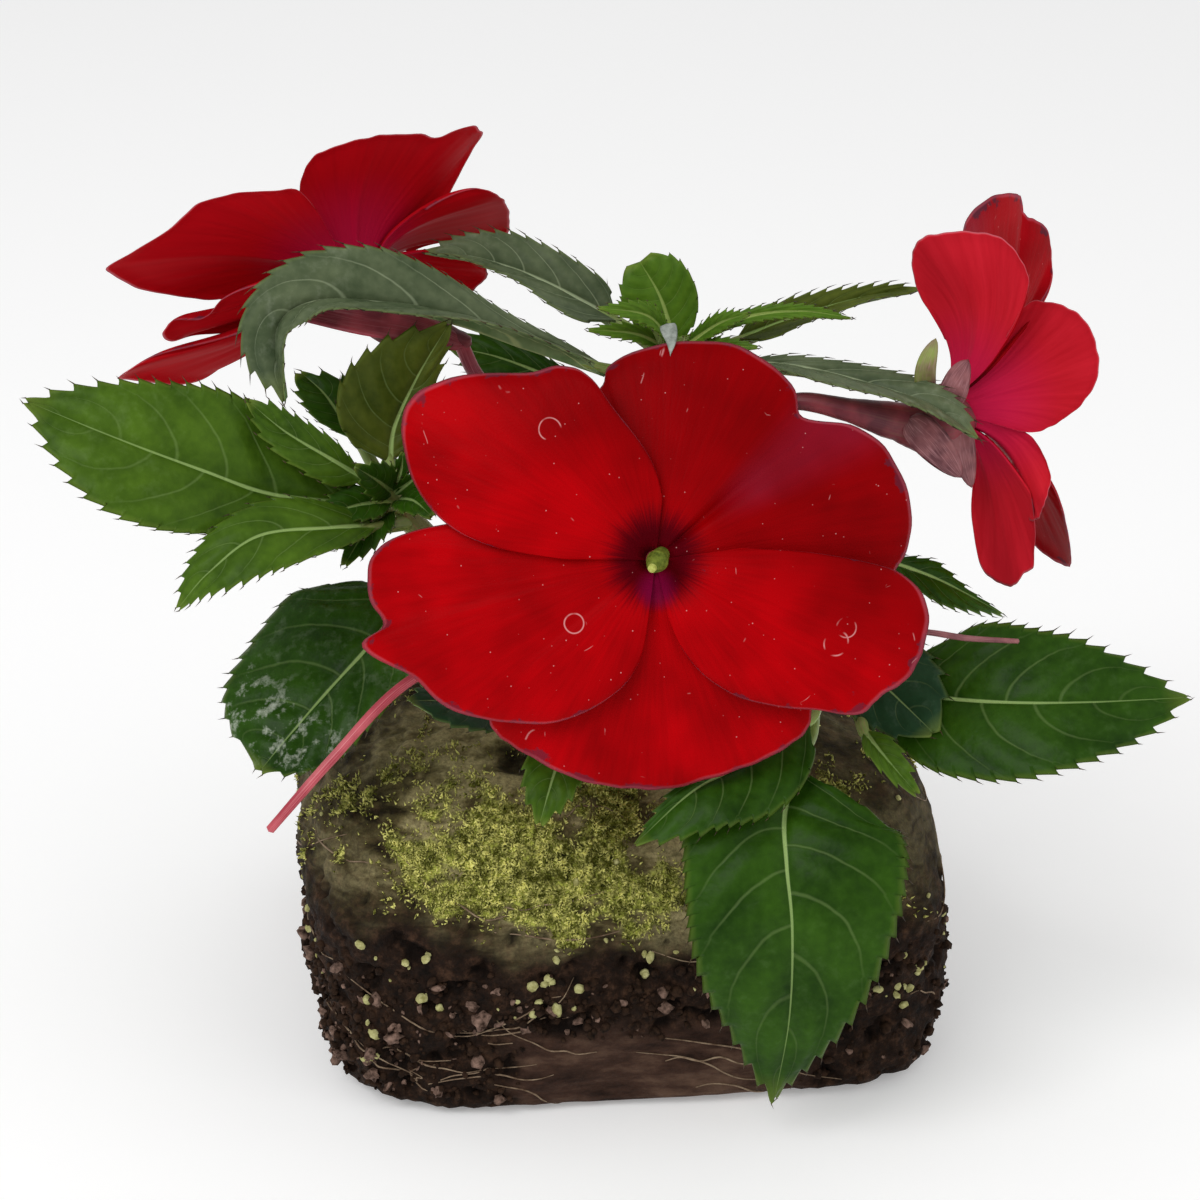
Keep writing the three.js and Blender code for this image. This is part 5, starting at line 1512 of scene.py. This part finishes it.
def petal_reverse(name, deep="#A2040F", bright="#B60713", base="#A00E40"):
    """Satin underside of a red petal: pinker and duller, magenta at its base, with pale veins and a
    painted highlight along its rim.
    """
    made, tree = material(name)
    spot, reach, angle = petal_place(tree)
    ring = mapped(tree, "blade")[1]
    streaks = petal_streaks(tree, angle, reach, 20.0, 0.08)
    skin = add(tree, "ValToRGB", (streaks,), stops=[(0.2, deep), (0.8, bright)])
    near = add(tree, "MapRange", (reach, 3.0, 15.0, 0.6, 0.0), **SOFT)
    skin = add(tree, "Mix", {0: near, 6: skin, 7: colour(base)}, 2, data_type="RGBA")
    # Painted highlight along the curled rim
    thin = add(tree, "MapRange", (ring, 0.985, 0.997, 0.0, 0.6))
    skin = add(tree, "Mix", {0: thin, 6: skin, 7: colour("#D8808C")}, 2, data_type="RGBA")
    bump = add(tree, "Bump", {"Height": streaks, "Strength": 0.25, "Distance": 0.1 * MM})
    sockets = {"Base Color": skin, "Roughness": 0.52, "Normal": bump, "IOR": 1.36}
    sockets.update({"Sheen Weight": 0.02, "Sheen Roughness": 0.4, "Sheen Tint": colour("#E8A0B4")})
    sockets["Specular IOR Level"] = 0.06
    finish(tree, sockets)
    return made


def mealy(name, low, high, size, roughness=0.8, depth=0.15, spread=(0.35, 0.68)):
    """Dull grainy matter such as bark, perlite or moss, in two tones of one size of grain."""
    made, tree = material(name)
    place = add(tree, "TexCoord", out="Object")
    lumps = {"Vector": place, "Scale": grains(size), "Detail": 5.0, "Roughness": 0.65}
    lumps = add(tree, "TexNoise", lumps)
    skin = add(tree, "ValToRGB", (lumps,), stops=[(spread[0], low), (spread[1], high)])
    bump = add(tree, "Bump", {"Height": lumps, "Strength": 0.6, "Distance": depth * MM})
    sockets = {"Base Color": skin, "Roughness": roughness, "Normal": bump, "IOR": 1.4}
    sockets["Specular IOR Level"] = 0.15
    finish(tree, sockets)
    return made


PEAT_STOPS = [(0.35, "#0E0805"), (0.52, "#23160E"), (0.72, "#4A3426")]
PRESSED_STOPS = [(0.33, "#22150F"), (0.5, "#3E2B22"), (0.7, "#5E483A")]
ALGAE_STOPS = [(0.62, "#262210"), (0.78, "#6E6540"), (0.98, "#B8AC7C")]
MOSS_STOPS = [(0.38, "#1C1E08"), (0.48, "#6A6E28"), (0.58, "#BCC25A")]


def peat_ground(name):
    """Moist peat of the root ball: dark crumbs, a smooth brown skin where the pot pressed it,
    green-grey algae above that and granular yellow-green moss."""
    made, tree = material(name)
    mossy, pressed = mapped(tree, "ground")
    filmed, painted_pit_shade = mapped(tree, "cover")
    place = add(tree, "TexCoord", out="Object")
    crumbs = {"Vector": place, "Scale": grains(2.2), "Detail": 6.0, "Roughness": 0.7}
    crumbs = add(tree, "TexNoise", crumbs)
    grit = {"Vector": place, "Scale": grains(0.6), "Detail": 3.0, "Roughness": 0.7}
    grit = add(tree, "TexNoise", grit)
    broad = add(tree, "TexNoise", {"Vector": place, "Scale": grains(9), "Detail": 3.0})

    # Crumbly peat, and layered peat where it was pressed
    layers = add(tree, "VectorMath", (place, (0.35, 0.35, 1.0)), operation="MULTIPLY")
    layers = {"Vector": layers, "Scale": grains(2.6), "Detail": 5.0, "Roughness": 0.62}
    layers = add(tree, "TexNoise", layers)
    peat = add(tree, "ValToRGB", (crumbs,), stops=PEAT_STOPS)
    skin = add(tree, "ValToRGB", (layers,), stops=PRESSED_STOPS)
    skin = add(tree, "Mix", {0: pressed, 6: peat, 7: skin}, 2, data_type="RGBA")

    # Algae in level fibres
    fibre = add(tree, "VectorMath", (place, (0.5, 0.5, 1.6)), operation="MULTIPLY")
    fibre = {"Vector": fibre, "Scale": grains(1.8), "Detail": 5.0, "Distortion": 0.6}
    fibre = add(tree, "TexNoise", fibre)
    tint = add(tree, "Math", (fibre, 0.7, broad), operation="MULTIPLY_ADD")
    algae = add(tree, "ValToRGB", (tint,), stops=ALGAE_STOPS)
    film = add(tree, "MapRange", (grit, 0.35, 0.65, 0.45, 0.95))
    film = add(tree, "Math", (film, filmed), operation="MULTIPLY")
    skin = add(tree, "Mix", {0: film, 6: skin, 7: algae}, 2, data_type="RGBA")

    # Moss below its leaflets, then painted shade in the pits and in the hole
    cushion = add(tree, "Math", (crumbs, 1.2, grit), operation="MULTIPLY_ADD")
    cushion = add(tree, "Math", (cushion, 0.45), operation="MULTIPLY")
    moss = add(tree, "ValToRGB", (cushion,), stops=MOSS_STOPS)
    share = add(tree, "Math", (crumbs, 0.5, -0.25), operation="MULTIPLY_ADD")
    share = add(tree, "Math", (share, mossy), operation="ADD")
    share = add(tree, "MapRange", (share, 0.3, 0.6, 0.0, 0.95))
    skin = add(tree, "Mix", {0: share, 6: skin, 7: moss}, 2, data_type="RGBA")
    # Painted shade in the pits and the hole
    dark = add(tree, "Math", (painted_pit_shade, 0.8), operation="MULTIPLY")
    skin = add(tree, "Mix", {0: dark, 6: skin, 7: colour("#100A07")}, 2, data_type="RGBA")

    height = add(tree, "Math", (grit, 0.5, crumbs), operation="MULTIPLY_ADD")
    bump = add(tree, "Bump", {"Height": height, "Strength": 0.8, "Distance": 0.5 * MM})
    rough = add(tree, "MapRange", (grit, 0.3, 0.7, 0.62, 0.95))
    sockets = {"Base Color": skin, "Roughness": rough, "Normal": bump, "IOR": 1.4}
    sockets["Specular IOR Level"] = 0.15
    finish(tree, sockets)
    return made


# Finishes of this plant. Most leaves are a deep green. Those at the left are painted lighter, as where
# the light falls; olive ones are painted dim, as seen in weak light; grey ones carry a painted
# reflection of the bright room; blue-green ones carry painted shade; and one leaf has a whitish crust
# of dried spray.
LEAF_GREEN = leaf_top("leaf_wax_green", "#112C02", "#345810", residue=0.02)
# Painted lighter, as where the light falls
LEAF_PAINTED_LIGHT = leaf_top("leaf_wax_painted_light", "#243E08", "#50701A", roughness=0.4, residue=0.03)
# Painted dim, as seen in weak light
LEAF_OLIVE_PAINTED_DIM = leaf_top("leaf_wax_olive_painted_dim", "#2C3A08", "#5A6422", roughness=0.42)
# Grey from a painted reflection of the bright room, with a little dried spray
LEAF_GREY_PAINTED_REFLECTION = leaf_top(
    "leaf_wax_grey_painted_reflection", "#33422A", "#6A7556", "#B4C09C", 0.32, residue=0.1, veins=0.3
)
# Blue-green from painted shade
LEAF_PAINTED_SHADE = leaf_top("leaf_wax_blue_green_painted_shade", "#16301A", "#2C4C30", residue=0.05)
LEAF_SPRAYED = leaf_top("leaf_wax_with_residue", "#152F05", "#345814", roughness=0.28, residue=0.85)
LEAF_YOUNG = leaf_top("leaf_wax_young", "#34560F", "#648828", "#A8BC6A", 0.4)
LEAF_BACK = leaf_back("leaf_underside")
YOUNG_BACK = leaf_back("young_leaf_underside", "#6E8A44", "#8FA860")
STALK = fleshy("leaf_stalk_flesh", "#8AA055", "#6A7F3C", "#A87A70", 0.4)
BRISTLE = fleshy("leaf_bristle", "#5A4A34", "#33291C")
STEM = fleshy("stem_flesh", "#8C9A58", "#6F7440", "#9A5A58", 0.5)

# Petals are a deep saturated red on the front bloom, with painted shade towards its upper right, and a
# pinker one on the side blooms, whose backs are painted brighter where the light falls on them. Marks
# are x, y and radius from the throat.
PETAL_MARKS = [(-9.9, -7.9, 1.15), (-13, 15.8, 1), (22.2, -10.1, 1.5), (23.4, -8.2, 1.1)]
PETAL = petal_face("petal_velvet_red", "#8A0004", "#B20007", upper=0.5, marks=PETAL_MARKS)
PETAL_SIDE = petal_face("petal_velvet_side_bloom", "#8E040D", "#B40C18", wear=0.8)
PETAL_BACK = petal_reverse("petal_satin_reverse")
# A copy of the reverse painted brighter, as where light falls on it
PETAL_BACK_LIT = petal_reverse("petal_satin_reverse_painted_lit", "#C01826", "#D62434", "#B81450")

# Stalks and leaflets of the blooms: wine red, greener at the right and brown where they wither
CALYX = fleshy("flower_stalk_flesh", "#B04A56", "#7C303C", "#C08088", 0.4)
CALYX_DARK = fleshy("calyx_flesh_maroon", "#90424A", "#64303A", "#7A5A48", 0.35)
SEPAL = fleshy("sepal_flesh", "#8FA050", "#7A5A50", "#B88A90", 0.5)
BRACT = fleshy("withered_bract", "#9A6264", "#64383E", "#C08C90", 0.5)
SPUR = fleshy("nectar_spur_flesh", "#C4505C", "#A83444", "#E8A8A8", 0.6)
HUSK = mealy("withered_husk", "#6E746C", "#A8AEA6", 1.2, 0.7, 0.1)
CAP = mealy("anther_cap", "#3E4C12", "#788430", 0.9, 0.55, 0.05)
POLLEN = mealy("pollen_tip", "#98A044", "#C4C870", 0.5, 0.7, 0.05)

# Root ball: dark moist crumbs, paler chips and grains, straw-coloured roots and bright moss
GROUND = peat_ground("moist_peat")
CRUMB = mealy("peat_crumb", "#150D08", "#3C2A1E", 1.2, 0.85, 0.3)
BARK = mealy("bark_chip", "#2C1E16", "#94786A", 1, 0.75, 0.2)
PERLITE = mealy("perlite", "#8C8850", "#C9C68E", 1, 0.8, 0.2)
MOSS = mealy("moss_leaflet", "#5A5C1A", "#F6F290", 1.4, 0.7, 0.05, (0.4, 0.62))
ROOT = mealy("fine_root", "#5A4636", "#9C8870", 1.5, 0.65, 0.05)

SKINS = dict(
    leaf_left_hanging=LEAF_SPRAYED,
    leaf_left_broad=LEAF_PAINTED_LIGHT,
    leaf_left_narrow=LEAF_PAINTED_LIGHT,
    leaf_left_low=LEAF_PAINTED_LIGHT,
    leaf_left_upright=LEAF_OLIVE_PAINTED_DIM,
    leaf_under_bloom=LEAF_PAINTED_SHADE,
    leaf_front_small=LEAF_PAINTED_LIGHT,
    leaf_right_dark=LEAF_PAINTED_SHADE,
    leaf_right_small=LEAF_PAINTED_LIGHT,
    leaf_top_arched=LEAF_GREY_PAINTED_REFLECTION,
    leaf_top_left=LEAF_GREY_PAINTED_REFLECTION,
    leaf_top_right=LEAF_OLIVE_PAINTED_DIM,
    leaf_top_right_low=LEAF_GREY_PAINTED_REFLECTION,
)

# Leaves, each in place of its CAD node
for seed, (name, leaf) in enumerate(LEAVES.items()):
    finishes = [SKINS.get(name, LEAF_GREEN), LEAF_BACK, STALK, BRISTLE]
    piece(name + "_blade", leaf_shapes(**leaf, seed=seed + 1), finishes, [name])

# Stems with their youngest leaves, which are folded more and have finer teeth
YOUNG_BEND = dict(fold=14, pitch=1.5)
for seed, (name, stem) in enumerate(STEMS.items()):
    shapes = [tube(**stem, sides=24, steps=60, finish=2, lumps=0.02, seed=seed)]
    for k, leaf in enumerate(YOUNG_LEAVES[name]):
        shapes += leaf_blade(**{**YOUNG_BEND, **leaf}, seed=70 + 10 * seed + k)
    finishes = [LEAF_YOUNG if name == "centre" else LEAF_GREEN, YOUNG_BACK, STEM, BRISTLE]
    piece("stem_" + name + "_flesh", shapes, finishes, ["stem_" + name])


def anther_cap(path, radii, seed):
    """The lumpy cap of joined anthers, with a tip of pollen."""
    slim = [0.75 * radius for radius in radii]
    tip = np.array(path[-1], float)
    end = tip + unit(tip - np.array(path[0])) * 0.6
    cap = tube(path, slim, sides=20, steps=24, lumps=0.05, seed=seed)
    return [cap, tube([tip, end], [0.55, 0.5], sides=16, steps=6, finish=1)]


def calyx_shapes(stalks, sepals):
    """A bloom's stalks and their leaflets. The first stalk is the one behind the petals."""
    shapes = []
    for k, stalk in enumerate(stalks):
        shapes.append(tube(**stalk, sides=20, steps=80, finish=int(k == 0), lumps=0.02, seed=k))
    return shapes + [sepal_shape(**sepal) for sepal in sepals]


# Blooms: petals with their throat, anther cap, and calyx with its stalk and leaflets
BLOOMS = dict(
    front=(FRONT_BLOOM, PETAL, PETAL_BACK, SPUR),
    left=(LEFT_BLOOM, PETAL_SIDE, PETAL_BACK, CALYX_DARK),
    right=(RIGHT_BLOOM, PETAL_SIDE, PETAL_BACK_LIT, CALYX_DARK),
)
for seed, (name, (bloom, face, back, tube_skin)) in enumerate(BLOOMS.items()):
    petals = [petal_sheet(bloom, petal, 40 + 10 * seed + k) for k, petal in enumerate(bloom["petals"])]
    piece("bloom_" + name, [*petals, throat_cup(bloom)], [face, back], ["petals_" + name])
    cap = anther_cap(**bloom["anthers"], seed=seed)
    piece("anther_cap_" + name, cap, [CAP, POLLEN], ["anthers_" + name])
    calyx = calyx_shapes(bloom["calyx"], SEPALS[name])
    finishes = [CALYX, tube_skin, SEPAL, BRACT, HUSK]
    piece("calyx_" + name + "_flesh", calyx, finishes, ["calyx_" + name])
spent = tube(SPENT_STALK, [0.6, 0.45, 0.4, 0.42, 0.32], sides=14, steps=50, lumps=0.03, seed=5)
piece("spent_flower_stalk", [spent], [BRACT])

# Root ball with what lies on it
ball, skin, facing, mossy, pressed = ball_shape()
piece("peat", [ball], [GROUND], ["root_ball"])
rng = np.random.default_rng(7)
x, y, z = (skin[..., k] for k in range(3))
area = np.linalg.norm(np.roll(skin, -1, 1) - skin, axis=-1)
area = area * np.linalg.norm(np.gradient(skin, axis=0), axis=-1) * (z > 2.5)


def strewn(model, weights, count, sizes, **options):
    """Grains of one shape on the ball where the weights are high, in a range of radii. Each is
    moved a little along the skin, so that they don't line up with its grid."""
    at = pick(weights * area, count, rng)
    radii = rng.uniform(0, 1, count) ** 2 * (sizes[1] - sizes[0]) + sizes[0]
    normals, shift = facing.reshape(-1, 3)[at], rng.uniform(-0.5, 0.5, (count, 3))
    shift = shift - normals * (shift * normals).sum(1, keepdims=True)
    return scattered(model, skin.reshape(-1, 3)[at] + shift, normals, radii, rng, **options)


bare = (1 - mossy) * (1 - pressed) * (1 - smooth(z, 19, 26))
lower_left = smooth(-x, -15, -2) * smooth(-z, -24, -16) * (y < 0)
loose = bare * (0.5 + lower_left)
crumbs = [strewn(pebble(k, 0.5, 1), loose, CRUMB_COUNT, CRUMB_SIZES) for k in range(7)]
piece("peat_crumbs", crumbs, [CRUMB])
chips = bare * (0.2 + 2 * lower_left)
flakes = []
for k in range(6):
    flakes.append(strewn(pebble(k + 9, 0.6), chips, FLAKE_COUNT, FLAKE_SIZES, stretch=0.75))
piece("bark_chips", flakes, [BARK])

# Perlite in a loose belt round the ball, and in clusters given by x, height and count
belt = smooth(z, 10, 18) * (1 - smooth(z, 24, 30))
belt = (belt + 0.08 * smooth(z, 24, 30) * (1 - smooth(z, 40, 45))) * (1 - 0.6 * pressed)
pearls = [strewn(pebble(k + 20, 0.3), belt, PEARL_COUNT, PEARL_SIZES) for k in range(5)]
for spot_x, spot_z, count in PEARL_CLUSTERS:
    centre = skin.reshape(-1, 3)[on_front(skin, spot_x, spot_z)]
    near = np.exp(-((np.linalg.norm(skin - centre, axis=-1) / CLUSTER_SIZE) ** 2))
    pearls.append(strewn(pebble(spot_x, 0.3), near, count, CLUSTER_PEARL_SIZES))
piece("perlite_grains", pearls, [PERLITE])
leaflets = strewn(tuft(), mossy**1.5, LEAFLET_COUNT, LEAFLET_SIZES, tilt=0.6, sink=0.3)
piece("moss_leaflets", [leaflets], [MOSS])

# Fine roots that wander over the skin, most of them in a tangle at the lower left
rootlets = []
beside, above = (x - TANGLE_PLACE[0]) / TANGLE_SIZE[0], (z - TANGLE_PLACE[1]) / TANGLE_SIZE[1]
tangle = np.exp(-(beside**2 + above**2)) * (y < 0)
rooted = area * (0.15 + pressed + 2.5 * tangle) * (z > 2) * (z < 42)
for k in range(ROOTLET_COUNT):
    row, column = divmod(int(pick(rooted, 1, rng)[0]), skin.shape[1])
    row_step, column_step = rng.uniform(-1.6, 1.6), rng.uniform(2, 5) * rng.choice([-1, 1])
    path = []
    for bend in range(ROOTLET_BENDS):
        at = min(max(int(row), 3), skin.shape[0] - 4), int(column) % skin.shape[1]
        path.append(skin[at] + facing[at] * 0.05)
        row, column = row + row_step, column + column_step
        row_step, column_step = row_step + rng.normal() * 1.2, column_step + rng.normal() * 0.9
    rootlets.append(tube(path, ROOTLET_RADII, sides=6, steps=22))
piece("rootlets", rootlets, [ROOT])

# Pale floor that runs past the picture
corners = [(-FLOOR_EDGE, -FLOOR_EDGE, 0), (FLOOR_EDGE, -FLOOR_EDGE, 0)]
corners += [(FLOOR_EDGE, FLOOR_EDGE, 0), (-FLOOR_EDGE, FLOOR_EDGE, 0)]
floor_mesh = bpy.data.meshes.new("floor")
floor_mesh.from_pydata(corners, [], [(0, 1, 2, 3)])
floor = bpy.data.objects.new("floor", floor_mesh)
bpy.context.scene.collection.objects.link(floor)
paper, tree = material("studio_paper")  # a dull white sheet, lit a little from below
sockets = {"Base Color": colour("#F4F4F4"), "Roughness": 0.9, "Specular IOR Level": 0.1}
sockets.update({"Emission Color": colour("#FFFFFF"), "Emission Strength": 0.24})
finish(tree, sockets)
floor_mesh.materials.append(paper)

# Light: a bright even room, one large soft lamp at the upper left in front and a weak one opposite
world = bpy.data.worlds.new("studio")
bpy.context.scene.world = world
world.use_nodes = True
sky = world.node_tree.nodes["Background"]
sky.inputs["Color"].default_value = (1, 1, 1, 1)
sky.inputs["Strength"].default_value = ROOM_LIGHT
for name, (place, size, power) in LAMPS.items():
    lamp = bpy.data.lights.new(name, "AREA")
    lamp.size = size
    lamp.energy = power
    holder = bpy.data.objects.new(name, lamp)
    holder.location = place
    holder.rotation_euler = (Vector(LAMP_AIM) - Vector(place)).to_track_quat("-Z", "Y").to_euler()
    bpy.context.scene.collection.objects.link(holder)

# Camera in front of the plant, looking down by 21 degrees
view = bpy.data.cameras.new("camera")
view.lens = CAMERA_LENS
view.sensor_width = CAMERA_SENSOR
camera = bpy.data.objects.new("camera", view)
camera.location = Vector(CAMERA_PLACE) * MM
ahead = Vector(CAMERA_AIM) * MM - camera.location
camera.rotation_euler = ahead.to_track_quat("-Z", "Y").to_euler()
bpy.context.scene.collection.objects.link(camera)
bpy.context.scene.camera = camera
bpy.context.scene.view_settings.view_transform = "Standard"
